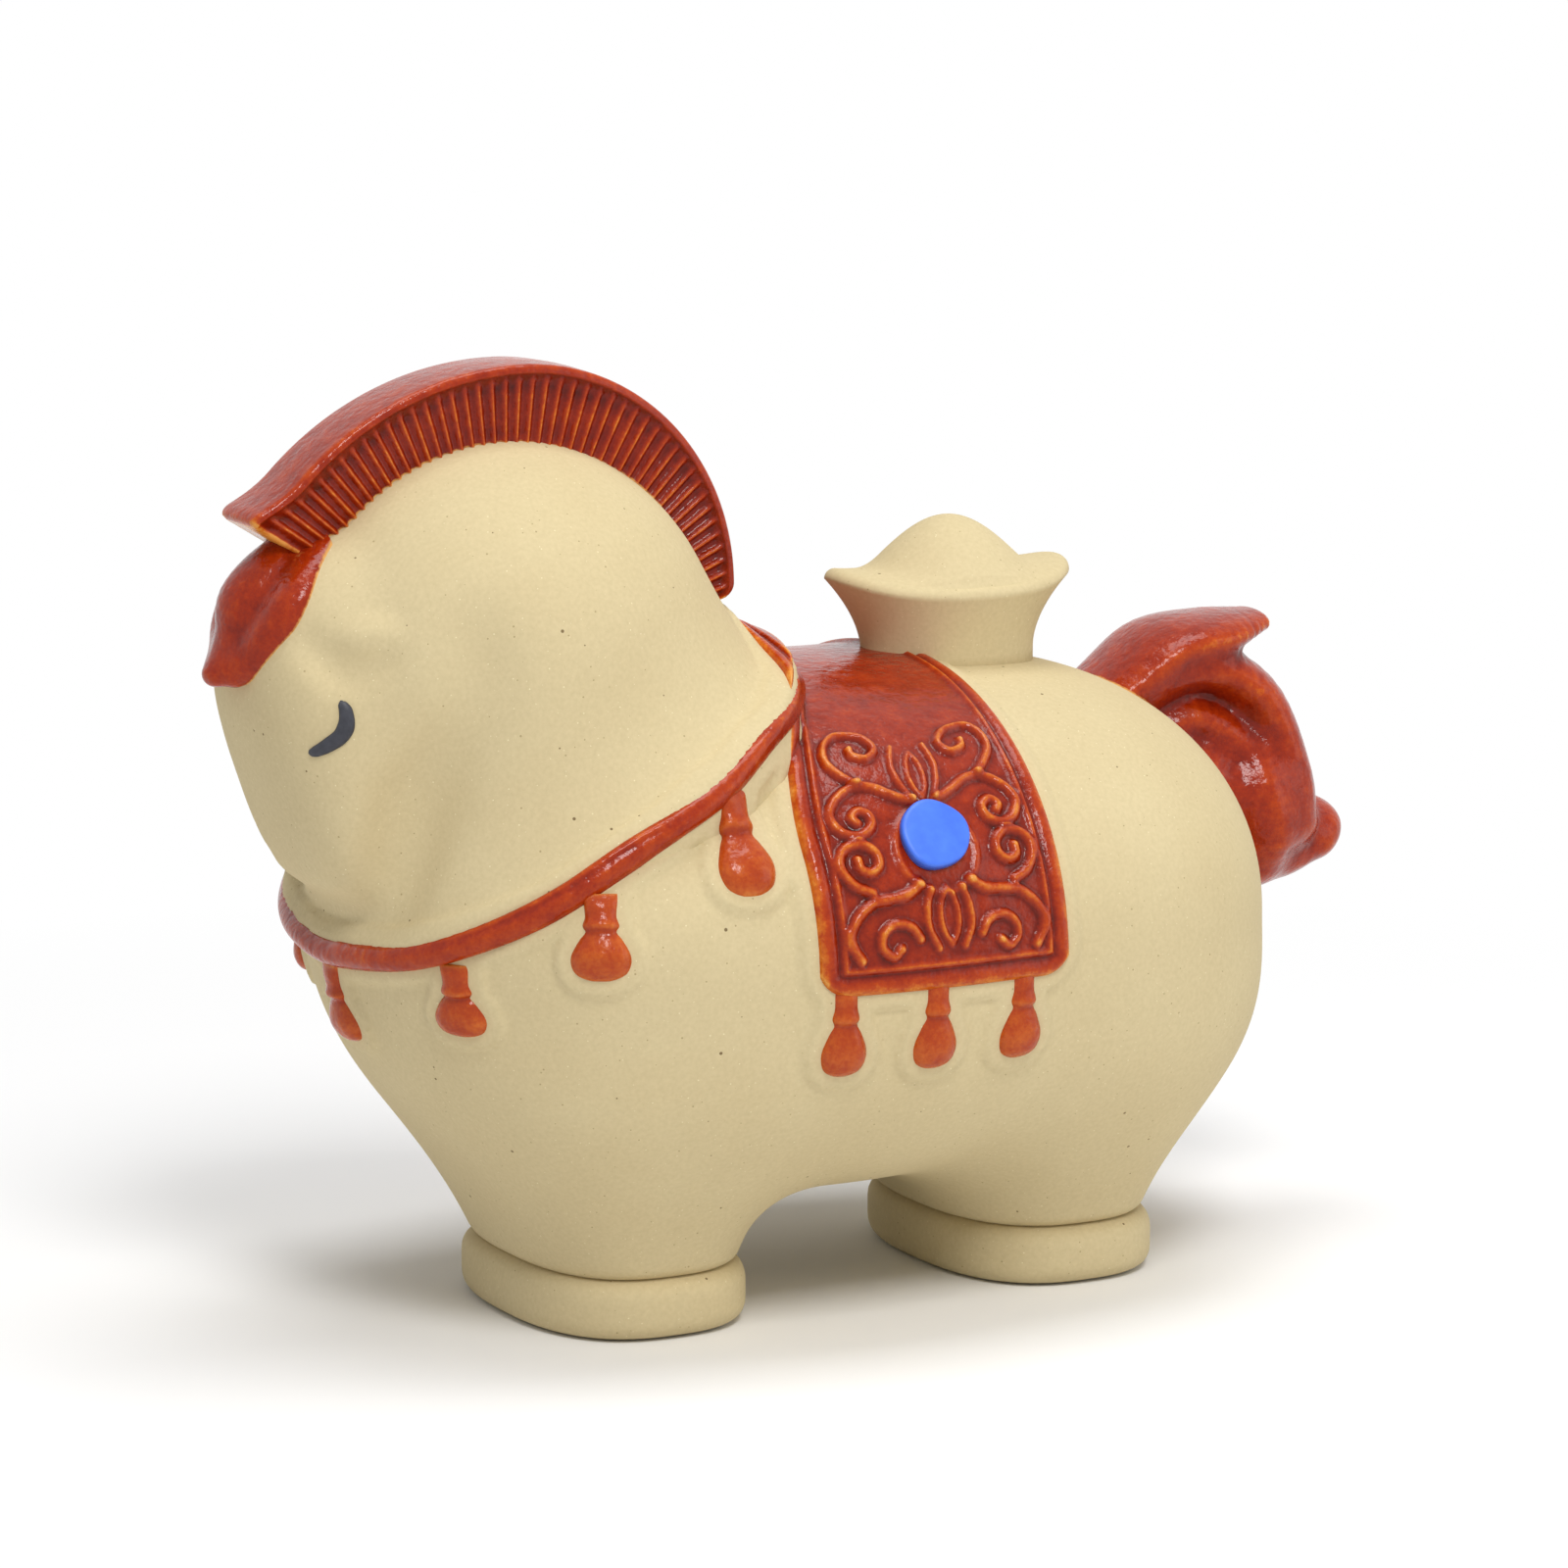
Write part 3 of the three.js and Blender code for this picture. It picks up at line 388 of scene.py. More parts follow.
# Each press of the finger: its half width, then its path on one side with the depth at each point.
# In turn: the valley behind the muzzle, its steep low part, the undercut below the muzzle, the dent
# round the ear and the nostril.
PRESSES = (
    (3.0, ((-34.6, 13.8, 58.0, 0.0), (-34.2, 14.6, 55.0, 1.2), (-34.2, 15.2, 52.0, 1.5),
           (-35.7, 14.4, 48.5, 1.6), (-37.2, 12.8, 45.2, 1.4), (-38.2, 11.6, 41.9, 1.0),
           (-38.6, 10.8, 38.6, 0.4))),
    (2.2, ((-35.8, 14.2, 48.5, 0.0), (-37.2, 12.7, 45.2, 1.7), (-38.3, 11.3, 42.0, 3.0),
           (-39.0, 10.5, 39.0, 3.6), (-39.2, 10.0, 36.8, 3.3), (-39.6, 9.2, 35.0, 2.2))),
    (1.6, ((-39.4, 9.6, 34.2, 1.5), (-40.6, 7.4, 33.4, 4.0), (-41.2, 3.8, 32.8, 5.0),
           (-41.4, 0.0, 32.7, 5.0), (-41.2, -3.8, 32.8, 5.0))),
    (1.5, ((-44.6, 6.6, 55.6, 0.3), (-44.0, 7.8, 54.4, 0.7), (-43.2, 8.8, 53.2, 0.6),
           (-42.4, 9.6, 52.6, 0.75), (-41.3, 10.4, 53.0, 0.5), (-40.2, 10.9, 54.0, 0.7),
           (-39.6, 11.0, 55.2, 0.3))),
    (0.6, ((-42.2, 5.1, 36.9, 0.18), (-41.7, 6.4, 37.0, 0.18))),
)
EAR = (3.2, 2.4, 2.8)
EAR_RISE = 0.65
EAR_SMEAR = 0.92


def smooth_path(points, count):
    """Evenly spaced points on a Catmull-Rom curve through the given points."""
    points = np.asarray(points, float)
    ends = np.concatenate([[2 * points[0] - points[1]], points, [2 * points[-1] - points[-2]]])
    t = np.linspace(0, 1, 40, endpoint=False)[:, None]
    fine = []
    for a, b, c, d in zip(ends, ends[1:], ends[2:], ends[3:]):
        bend = 2 * a - 5 * b + 4 * c - d
        fine.append(b + 0.5 * ((c - a) * t + bend * t ** 2 + (3 * b - a - 3 * c + d) * t ** 3))
    fine = np.concatenate([*fine, points[-1:]])
    length = np.concatenate([[0], np.cumsum(np.linalg.norm(np.diff(fine, axis=0), axis=1))])
    at = np.linspace(0, length[-1], count)
    return np.stack([np.interp(at, length, fine[:, i]) for i in range(fine.shape[1])], 1)


def press(form, path, half_width):
    """Presses a soft groove into both sides of a form, along a path whose points hold its depth."""
    knots = smooth_path(path, 60)
    spacing = np.linalg.norm(knots[1, :3] - knots[0, :3])
    felt = 3 * half_width
    low, high = knots[:, :3].min(0) - felt, knots[:, :3].max(0) + felt

    def pressed(x, y, z):
        skin = form(x, y, z)
        y = np.abs(y)
        near = (x > low[0]) & (x < high[0]) & (z > low[2]) & (z < high[2]) & (y > low[1]) & (y < high[1])
        if near.any():
            place = x[near], y[near], z[near]
            gaps = [sum((way - at) ** 2 for way, at in zip(place, knot)) for knot in knots]
            depth = sum(knot[3] * np.exp(-gap / half_width ** 2) for knot, gap in zip(knots, gaps))
            skin[near] += depth * spacing / (half_width * math.sqrt(math.pi))
        return skin

    return pressed


skull = lump(head, (SKULL, SKULL_WIDTH, SKULL))
skull = blend(skull, lump(neck, NECK, NECK_SQUARENESS, NECK_TILT), NECK_FILLET)
skull = blend(skull, lump(neck_lip, NECK_LIP, NECK_SQUARENESS, NECK_LIP_TILT), LIP_FILLET)
snout = blend(lump(muzzle, MUZZLE, MUZZLE_SQUARENESS, MUZZLE_TILT), lump(brow, BROW), BROW_FILLET)
head_form = blend(skull, snout, MUZZLE_FILLET)
for half_width, path in PRESSES:
    head_form = press(head_form, path, half_width)


def pad(form, centre, rise):
    """Raises a form by a soft pad, and gives the pad's own reach too: under 1 inside it."""
    out = slope_at(form, centre[None])[0]
    along = np.cross(out, (0, 0, 1))
    ways = (along, np.cross(along, out), out)
    axes = [way / np.linalg.norm(way) / length for way, length in zip(ways, EAR)]

    def reach_of(x, y, z):
        from_centre = (x - centre[0], y - centre[1], z - centre[2])
        return sum(sum(a * d for a, d in zip(axis, from_centre)) ** 2 for axis in axes)

    return lambda x, y, z: form(x, y, z) - rise * np.maximum(1 - reach_of(x, y, z), 0) ** 2, reach_of


ears = {}
bare_head = head_form
for name in ("left", "right"):
    centre = settle(bare_head, node_middle(f"{name}_ear")[None], 1.0)[0]
    ears[name] = centre, *pad(bare_head, centre, EAR_RISE)
    head_form = pad(head_form, centre, EAR_SMEAR * EAR_RISE)[0]

head_low, head_high = node_box("head_and_neck")
head_points, head_faces = cast(head_form, head_low - 1, head_high + 1, CLAY_CELL)
clay_head = piece("clay_head", head_points, head_faces, clay)
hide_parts("head_and_neck")


def clay_skin(x, y, z):
    """The outside of all the bare clay that ornaments are pressed on."""
    return np.minimum(body(x, y, z), head_form(x, y, z))


def reach(form, start, way, near, far, rounds=22):
    """Where rays from the starts cross a form's skin, between a near and a far distance along them."""
    start, way = np.atleast_2d(start), np.atleast_2d(way)
    near = np.full(len(start), float(near))
    far = np.full(len(start), float(far))
    first = form(*(start + near[:, None] * way).T) < 0
    for _ in range(rounds):
        middle = (near + far) / 2
        same = (form(*(start + middle[:, None] * way).T) < 0) == first
        near = np.where(same, middle, near)
        far = np.where(same, far, middle)
    return start + near[:, None] * way


def unit(vectors):
    return vectors / np.maximum(np.linalg.norm(vectors, axis=-1, keepdims=True), 1e-9)


# Ears
# Two small pads of clay pressed on above the eyes and smeared into the head all round, so that each
# shows only as a low swell above the dent that the thumb left.

EAR_SINK = 0.03
EAR_TRIM = 0.97
EAR_ROOM = 4.2
EAR_CELL = 0.22


def ear_form(raised, reach_of):
    """The part of the raised head that the pad covers."""
    def form(x, y, z):
        within = (np.sqrt(reach_of(x, y, z)) - EAR_TRIM) * min(EAR)
        return np.maximum(raised(x, y, z) + EAR_SINK, within)

    return form


for name, (centre, raised, reach_of) in ears.items():
    points, faces = cast(ear_form(raised, reach_of), centre - EAR_ROOM, centre + EAR_ROOM, EAR_CELL)
    ear = piece(f"{name}_ear_nub", points, faces, clay)
    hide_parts(f"{name}_ear")

# Eyes
# Each eye is one stroke of thick black slip, laid with a brush as a smiling crescent, so it stands
# a little above the clay and dries satin matt.

# The stroke's middle line, out from the face's middle and up, then its half width at shares of its length
EYE_PATH = (
    (9.65, 50.9), (9.95, 50.1), (10.0, 49.1), (9.75, 48.2), (9.15, 47.5), (8.5, 47.05), (7.95, 46.85),
)
EYE_STROKE = (
    (0.0, 0.06), (0.05, 0.34), (0.14, 0.5), (0.4, 0.66), (0.7, 0.56), (0.9, 0.42), (0.97, 0.28),
    (1.0, 0.06),
)
EYE_STEPS = 44
EYE_RELIEF = 0.42
EYE_SINK = 0.3


def loft(rings, loop=False):
    """Skins closed rings of points. An open end is closed by pairing the ring's two halves."""
    count, around = rings.shape[:2]
    number = np.arange(count * around).reshape(count, around)
    ahead = np.roll(number, -1, 0) if loop else number[1:]
    here = number if loop else number[:-1]
    quads = np.stack([here, np.roll(here, -1, 1), np.roll(ahead, -1, 1), ahead], 2).reshape(-1, 4).tolist()
    if not loop:
        for ring, turned in ((number[0], True), (number[-1], False)):
            for i in range(around // 2 - 1):
                quad = [ring[i], ring[i + 1], ring[around - 2 - i], ring[around - 1 - i]]
                quads.append(quad[::-1] if turned else quad)
    points = rings.reshape(-1, 3)
    corners = points[np.array(quads[: (count - 1) * around])]
    normal = np.cross(corners[:, 2] - corners[:, 0], corners[:, 3] - corners[:, 1])
    outward = ((corners.mean(1) - points.mean(0)) * normal).sum() > 0
    return points, quads if outward else [quad[::-1] for quad in quads]


def cushion(count, square=2.6):
    """A pad's cross-section: where its points lie across, from -1 to 1, and how high they stand."""
    turn = np.linspace(-math.pi / 2, math.pi / 2, count)
    across = np.sin(turn)
    return across, (1 - np.abs(across) ** square) ** (1 / square)


def black_slip():
    """Dried black slip: near-black, satin, with faint brush marks."""
    material, tree, place = empty_material("black_slip")
    marks = node(tree, "ShaderNodeTexNoise", {"Vector": place, "Scale": per_mm(0.5), "Detail": 3.0})
    colour = mix(tree, marks, linear("26272e"), linear("45464e"))
    coat(tree, colour, (marks, 0.3, 0.08), {"Roughness": 0.5, "Specular IOR Level": 0.4})
    return material


slip = black_slip()
for name, side in (("left", -1), ("right", 1)):
    path = smooth_path(EYE_PATH, EYE_STEPS)
    start = np.stack([np.full(len(path), -60.0), side * path[:, 0], path[:, 1]], 1)
    line = reach(head_form, start, (1, 0, 0), 0, 30)
    out = unit(slope_at(head_form, line))
    across_line = np.cross(out, unit(np.gradient(line, axis=0)))
    width = np.interp(np.linspace(0, 1, len(line)), *np.array(EYE_STROKE).T)
    across, rise = cushion(15, 2.2)
    height = EYE_RELIEF * width / width.max()
    rings = []
    for i in range(len(line)):
        flat = line[i] + np.outer(across * width[i], across_line[i])
        top = flat + np.outer(rise * height[i], out[i])
        rings.append(np.concatenate([top, flat[::-1] - EYE_SINK * out[i]]))
    eye = piece(f"{name}_eye_stroke", *loft(np.array(rings)), slip)
    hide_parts(f"{name}_eye")

# Mane
# A crest of clay is rolled, cut to a crescent and stood along the top of the head. Its sides are
# combed with a ribbed tool up to a smooth rim, and it is dipped in red-brown glaze, which runs off
# the ribs and shows ochre there.

MANE_THICKNESS = 6.2
MANE_RISE = 5.5
MANE_FRONT_SWELL = 7.7
MANE_REAR_SWELL = -0.3
MANE_BACKSET = 1.55
MANE_START = 14
MANE_END = 148
MANE_TIP = 1.7
MANE_TIP_FROM = 136
MANE_SEAT = 2.0
MANE_RIBS = 46
RIB_DEPTH = 0.4
RIB_SHARPNESS = 2.2
RIM_WIDTH = 0.75
RIM_SWELL = 0.14
RIM_ROUND = 0.45
RIM_CROWN = 0.1
MANE_END_DROP = 0.9
MANE_END_PINCH = 0.2
STEPS_PER_RIB = 8
GLAZE_EDGE = 0.04


def read_mesh(mesh):
    """The places of a mesh's points, and the ways that they face."""
    points, normals = np.empty(3 * len(mesh.vertices)), np.empty(3 * len(mesh.vertices))
    mesh.vertices.foreach_get("co", points)
    mesh.vertices.foreach_get("normal", normals)
    return points.reshape(-1, 3), normals.reshape(-1, 3)


def keep_relief(made, rounds, depth):
    """Notes on each point how far it stands out of the points round it, and how far above the clay."""
    mesh = made.data
    count = len(mesh.vertices)
    points, normals = read_mesh(mesh)
    points = points / MM
    edges = np.empty(len(mesh.edges) * 2, int)
    mesh.edges.foreach_get("vertices", edges)
    edges = edges.reshape(-1, 2)
    ends = np.concatenate([edges, edges[:, ::-1]])
    joined = np.bincount(ends[:, 0], minlength=count)[:, None]
    smooth = points
    for _ in range(rounds):
        total = [np.bincount(ends[:, 0], smooth[ends[:, 1], i], count) for i in range(3)]
        smooth = (smooth + np.stack(total, 1)) / (joined + 1)
    height = ((points - smooth) * normals).sum(1)
    relief = mesh.attributes.new("relief", "FLOAT", "POINT")
    relief.data.foreach_set("value", np.clip(0.5 + height / depth, 0, 1))
    above = mesh.attributes.new("above_clay", "FLOAT", "POINT")
    above.data.foreach_set("value", np.clip(clay_skin(*points.T), 0, 2))


def iron_glaze(name, tones, bare_edge):
    """Iron-red glaze: glossy glass that pools dark in hollows and breaks to ochre where it is thin.

    The tones run from the deepest pool to the barest crest. Next to the clay the glaze gives out.
    """
    material, tree, place = empty_material(name)
    relief = node(tree, "ShaderNodeAttribute", attribute_name="relief").outputs["Fac"]
    above = node(tree, "ShaderNodeAttribute", attribute_name="above_clay").outputs["Fac"]
    runs = node(tree, "ShaderNodeTexNoise", {
        "Vector": place, "Scale": per_mm(1.6), "Detail": 4.0, "Roughness": 0.65})
    fleck = node(tree, "ShaderNodeTexNoise", {"Vector": place, "Scale": per_mm(0.3), "Detail": 2.0})
    ripple = node(tree, "ShaderNodeTexNoise", {"Vector": place, "Scale": per_mm(0.8), "Detail": 3.0})

    def spread(noise, low, high):
        return node(tree, "ShaderNodeMapRange", {
            "Value": noise, "From Min": 0.3, "From Max": 0.7, "To Min": low, "To Max": high})

    def sum_of(a, b):
        return node(tree, "ShaderNodeMath", {0: a, 1: b}, operation="ADD")

    thinness = sum_of(sum_of(relief, spread(runs, -0.12, 0.12)), spread(fleck, -0.05, 0.05))
    ramp = node(tree, "ShaderNodeValToRGB", {0: thinness})
    for position, text in tones[1:-1]:
        ramp.color_ramp.elements.new(position)
    for element, (position, text) in zip(ramp.color_ramp.elements, tones):
        element.position = position
        element.color = linear(text)
    wobble = sum_of(spread(runs, -0.05, 0.05), spread(fleck, 0.6 * bare_edge, 1.4 * bare_edge))
    share = node(tree, "ShaderNodeMath", {0: above, 1: wobble}, operation="SUBTRACT")
    bare = node(tree, "ShaderNodeMapRange", {
        "Value": share, "From Min": 0.0, "From Max": 0.1, "To Min": 1.0, "To Max": 0.0})
    colour = mix(tree, bare, ramp, linear("d39a52"))
    dry = node(tree, "ShaderNodeMath", {0: bare, 1: 0.5}, operation="MULTIPLY")
    shine = {"Roughness": sum_of(dry, spread(runs, 0.1, 0.24)), "IOR": 1.5, "Specular IOR Level": 0.24}
    coat(tree, colour, (ripple, 0.55, 0.2), shine)
    return material


def mane_edge(turn):
    """How far the mane's outer edge lies from the middle of the head: a front arc and a rear arc."""
    def edge(swell):
        radius = SKULL / 2 + swell
        up = MANE_RISE - swell
        along = MANE_BACKSET * np.cos(turn) + up * np.sin(turn)
        return along + np.sqrt(along ** 2 + radius ** 2 - MANE_BACKSET ** 2 - up ** 2)

    rear, front = edge(MANE_REAR_SWELL), edge(MANE_FRONT_SWELL)
    tip = np.clip((np.degrees(turn) - MANE_TIP_FROM) / (MANE_END - MANE_TIP_FROM), 0, 1)
    return np.where(rear * np.cos(turn) > MANE_BACKSET, rear, front) + MANE_TIP * tip ** 2


def mane_rings():
    """The mane's cross-sections, ribbed on both sides, from the nape round to the brow."""
    share = np.linspace(0, 1, MANE_RIBS * STEPS_PER_RIB + 1)
    turn = np.radians(MANE_START + (MANE_END - MANE_START) * share)
    out = np.stack([np.cos(turn), 0 * turn, np.sin(turn)], 1)
    seat = reach(clay_skin, np.repeat(head[None], len(turn), 0), out, 4, 40)
    foot = np.linalg.norm(seat - head, axis=1) - MANE_SEAT
    round_off = np.sqrt(1 - (1 - np.minimum(np.minimum(share, 1 - share) * MANE_RIBS, 1)) ** 2)
    edge = mane_edge(turn) - MANE_END_DROP * (1 - round_off)
    width = MANE_THICKNESS / 2 * (1 - MANE_END_PINCH * (1 - round_off))
    rib = (0.5 + 0.5 * np.cos(2 * math.pi * share * MANE_RIBS)) ** RIB_SHARPNESS
    wall = []
    for k in np.linspace(0, 1, 15):
        fade = min((1 - k) / 0.12, 1) * (0.45 + 0.55 * min(k / 0.35, 1))
        wall.append((width - RIB_DEPTH * (1 - rib) * fade, foot + (edge - RIM_WIDTH - foot) * k))
    for k in np.linspace(0, 1, 7)[1:]:
        swell = RIM_SWELL * math.sin(math.pi * k * 0.75)
        wall.append((width + swell, edge - RIM_WIDTH + (RIM_WIDTH - RIM_ROUND) * k))
    top = width + RIM_SWELL * math.sin(math.pi * 0.75)
    for bend in np.radians(np.linspace(0, 90, 6)[1:]):
        wall.append((top - RIM_ROUND * (1 - math.cos(bend)), edge - RIM_ROUND * (1 - math.sin(bend))))
    for k in (0.7, 0.42, 0.14):
        wall.append(((top - RIM_ROUND) * k, edge + RIM_CROWN * (1 - k)))
    profile = [(-y, up) for y, up in wall] + wall[::-1]
    return np.stack([head + out * up[:, None] + np.outer(y, (0, 1, 0)) for y, up in profile], 1)


DEEP_TONES = (
    (0.0, "4a0c02"), (0.34, "7c1a04"), (0.55, "982905"), (0.74, "b03e08"), (0.9, "ca6a1a"), (1.0, "dc9440"),
)
glaze = iron_glaze("iron_red_glaze", DEEP_TONES, GLAZE_EDGE)
mane = piece("ribbed_mane", *loft(mane_rings()), glaze)
keep_relief(mane, 6, 0.42)
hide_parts("mane_crest")

# Forelock
# A short lock rolled in three strands and pressed over the brow, where the middle one ends in a
# flick. The grooves between them are drawn in with a wooden tool before it is glazed.

FORELOCK_CELL = 0.2
FORELOCK_GROOVE = 1.1
LOCK_ROOM = 2.5
# Each strand: how much wider it is than deep, then its middle line with the radius at each point
FORELOCK = (
    (1.35, ((-39.6, 0, 61.6, 1.7), (-43.2, 0, 59.8, 2.0), (-45.9, 0, 57.3, 2.1),
            (-46.6, 0, 54.9, 1.8), (-47.2, 0, 53.3, 1.6), (-48.7, 0, 51.9, 0.95))),
    (1.1, ((-39.6, 2.2, 61.8, 0.9), (-41.9, 3.4, 59.6, 1.5), (-44.0, 4.1, 57.2, 1.9),
           (-45.4, 3.6, 55.0, 1.8), (-46.5, 2.4, 53.2, 1.5), (-47.6, 1.5, 52.1, 1.0))),
)


def strand(path, squash):
    """A tapered roll along a path of places and radii, mirrored and flattened."""
    knots = smooth_path(path, 5 * len(path))

    def form(x, y, z):
        nearest = 99.0
        place = (x, np.abs(y), z)
        for a, b in zip(knots, knots[1:]):
            way = b - a
            share = sum((place[i] - a[i]) * way[i] for i in range(3)) / (way[:3] @ way[:3])
            at = [a[i] + way[i] * np.clip(share, 0, 1) for i in range(4)]
            gap = np.sqrt((x - at[0]) ** 2 + ((np.abs(y) - at[1]) / squash) ** 2 + (z - at[2]) ** 2)
            nearest = np.minimum(nearest, gap - at[3])
        return nearest

    return form


def lock(name, replaced, strands, groove, cell):
    """A lock of strands laid side by side, with a groove between them."""
    form = strand(strands[0][1], strands[0][0])
    for squash, path in strands[1:]:
        form = blend(form, strand(path, squash), groove)
    low, high = node_box(replaced)
    made = piece(name, *cast(form, low - LOCK_ROOM, high + LOCK_ROOM, cell), glaze)
    keep_relief(made, 8, 0.55)
    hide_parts(replaced)


lock("curled_forelock", "forelock", FORELOCK, FORELOCK_GROOVE, FORELOCK_CELL)

# Tail
# Rolls of clay, laid one over the next from the croup down the rump. The top one ends in a
# flick, the second turns down to a curl, and all are luted to the rump and glazed like the mane.

TAIL_CELL = 0.3
TAIL_GROOVE = 1.3
TAIL = (
    (3.0, ((24.0, 0, 42.0, 1.4), (29.0, 0, 45.7, 1.6), (33.0, 0, 48.2, 1.75),
           (37.5, 0, 48.8, 1.7), (41.4, 0, 49.4, 1.0))),
    (2.3, ((27.0, 0, 41.6, 1.6), (32.0, 0, 45.4, 1.9), (36.4, 0, 46.0, 2.2),
           (40.2, 0, 43.4, 2.7), (42.4, 0, 37.5, 3.0), (43.0, 0, 33.6, 3.0))),
    (2.2, ((29.5, 0, 40.4, 1.8), (34.4, 0, 42.3, 2.1), (38.4, 0, 39.4, 2.8),
           (39.4, 0, 36.4, 3.6), (39.9, 0, 33.2, 3.7), (39.6, 0, 31.0, 3.0))),
    (2.2, ((30.0, 0, 39.4, 2.0), (34.4, 0, 38.4, 2.8), (36.8, 0, 35.4, 3.0), (37.6, 0, 32.0, 2.6))),
    (2.4, ((37.4, 0, 29.8, 1.8), (42.6, 0, 30.1, 2.0), (46.0, 0, 31.2, 1.9))),
    (1.9, ((46.3, 0, 32.4, 2.2), (47.0, 0, 32.4, 2.3))),
)

lock("curled_tail", "tail", TAIL, TAIL_GROOVE, TAIL_CELL)

# Ingot
# A boat-shaped ingot with a dome, moulded in the same sandy clay and luted to the back behind the
# cloth. It stays unglazed, and its rim is rounded with a sponge.

INGOT_BASE = (14.4, 10.4)
INGOT_TOP = (20.8, 13.0)
INGOT_RIM_Z = 56.1
INGOT_HEIGHT = 6.9
INGOT_ROUND = 0.8
INGOT_SHEER = 1.3
INGOT_HOLLOW = 0.35
INGOT_DOME = (6.5, 5.5)
DOME_FILLET = 0.9
INGOT_FLARE = 1.8
INGOT_FOOT = 2.5

ingot_low, ingot_high = node_box("gold_ingot")
ingot_middle = (ingot_low + ingot_high) / 2
turn = np.linspace(0, 2 * math.pi, 112, endpoint=False)
end = np.abs(np.cos(turn))


def oval(length, width, z):
    x = ingot_middle[0] + length / 2 * np.cos(turn)
    return np.stack([x, width / 2 * np.sin(turn), np.broadcast_to(z, x.shape)], 1)


def ingot_face(share):
    """The top at a share of the way from the middle to the rim: a sagging deck with the dome in it."""
    deck = INGOT_RIM_Z - INGOT_SHEER * (1 - end ** 3) * share ** 4 - INGOT_HOLLOW * (1 - share ** 4)
    length, width = (size - 2 * INGOT_ROUND for size in INGOT_TOP)
    along, across = share * length / 2 * np.cos(turn), share * width / 2 * np.sin(turn)
    far = np.hypot(along / INGOT_DOME[0], across / INGOT_DOME[1])
    floor_z = INGOT_RIM_Z - INGOT_HOLLOW
    dome = floor_z + (ingot_high[2] - floor_z) * np.cos(math.pi / 2 * np.minimum(far, 1.2))
    return oval(length * share, width * share, -softer(-deck, -dome, DOME_FILLET))


base_z = INGOT_RIM_Z - INGOT_HEIGHT
sheer = INGOT_RIM_Z - INGOT_SHEER * (1 - end ** 3)
rings = [oval(*INGOT_BASE, base_z - INGOT_FOOT)]
for up in np.linspace(0, 1, 22):
    size = [a + (b - a) * up ** INGOT_FLARE for a, b in zip(INGOT_BASE, INGOT_TOP)]
    rings.append(oval(*size, base_z + (sheer - INGOT_ROUND - base_z) * up))
for bend in np.radians(np.linspace(0, 90, 8)[1:-1]):
    size = [side - 2 * INGOT_ROUND * (1 - math.cos(bend)) for side in INGOT_TOP]
    rings.append(oval(*size, sheer - INGOT_ROUND * (1 - math.sin(bend))))
for share in np.linspace(1, 0.012, 34):
    rings.append(ingot_face(share))
ingot = piece("boat_ingot", *loft(np.array(rings)), clay)
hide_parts("gold_ingot")

# Collar
# A rolled strip of clay laid over the seam between neck and body, dipping to a shallow point at the
# breast, and glazed like the mane. Where the roll is high the glaze is thin.

STRAP_HALF = 1.05
STRAP_RELIEF = 0.95
STRAP_SEAT = 0.1
STRAP_UNDER = 0.9
STRAP_STEPS = 420
STRAP_BACK = (-2.9, 0, 49.2)
STRAP_BREAST = (-40.2, 0, 29.9)
STRAP_LEFT = (
    (-5.2, -7.6, 48.1), (-8.9, -11.8, 46.6), (-12.9, -14.9, 44.8), (-18.3, -18.2, 42.1),
    (-24.4, -19.7, 39.4), (-29.3, -19.8, 36.5), (-34.2, -16.7, 33.7), (-38.3, -10.0, 31.2),
    (-39.7, -4.4, 30.5),
)

soft_skin = blend(body, head_form, 2)


def lay_on_clay(points, out, lift=3.0):
    """Drops points along the skin's outward way until they lie on the clay."""
    return reach(soft_skin, points + lift * out, -out, 0, 2 * lift)


def ring_path(points, count):
    """Evenly spaced points on a smooth closed curve through the given points."""
    points = np.asarray(points, float)
    twice = smooth_path(np.concatenate([points, points, points[:1]]), 2 * count + 1)
    return np.roll(twice[count // 2:count // 2 + count], count // 2, 0)


def evened(ways, rounds):
    for _ in range(rounds):
        ways = unit(np.roll(ways, 1, 0) + 2 * ways + np.roll(ways, -1, 0))
    return ways


def evened_line(points, rounds):
    for _ in range(rounds):
        points = (np.roll(points, 1, 0) + 2 * points + np.roll(points, -1, 0)) / 4
    return points


strap_right = [(x, -y, z) for x, y, z in reversed(STRAP_LEFT)]
line = ring_path((STRAP_BACK, *STRAP_LEFT, STRAP_BREAST, *strap_right), STRAP_STEPS)
line = evened_line(settle(soft_skin, line, 1.0), 60)
out = evened(unit(slope_at(soft_skin, line)), 30)
along = unit(np.roll(line, -1, 0) - np.roll(line, 1, 0))
across_strap = evened(unit(np.cross(out, along)), 10)
round_neck = np.linspace(0, 2 * math.pi, STRAP_STEPS, endpoint=False)
width = STRAP_HALF * (1 + 0.04 * np.sin(7 * round_neck) + 0.03 * np.sin(13 * round_neck + 1))
across, rise = cushion(19, 2.3)
tops = []
for a, h in zip(across, rise):
    base = evened_line(lay_on_clay(line + across_strap * (a * width)[:, None], out), 60)
    tops.append(base + out * (h * STRAP_RELIEF - STRAP_SEAT))
unders = [line + across_strap * (a * width)[:, None] - STRAP_UNDER * out for a in across[::-1]]
strap = piece("collar_band", *loft(np.stack(tops + unders, 1), loop=True), glaze)
keep_relief(strap, 10, 0.6)
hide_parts("collar_strap")

# Tassels
# Small drops of clay pressed on below the collar and the saddle cloth. A stem, a bound knot and a
# full brush are pinched into each, and a thinner coat of the glaze leaves them more orange.

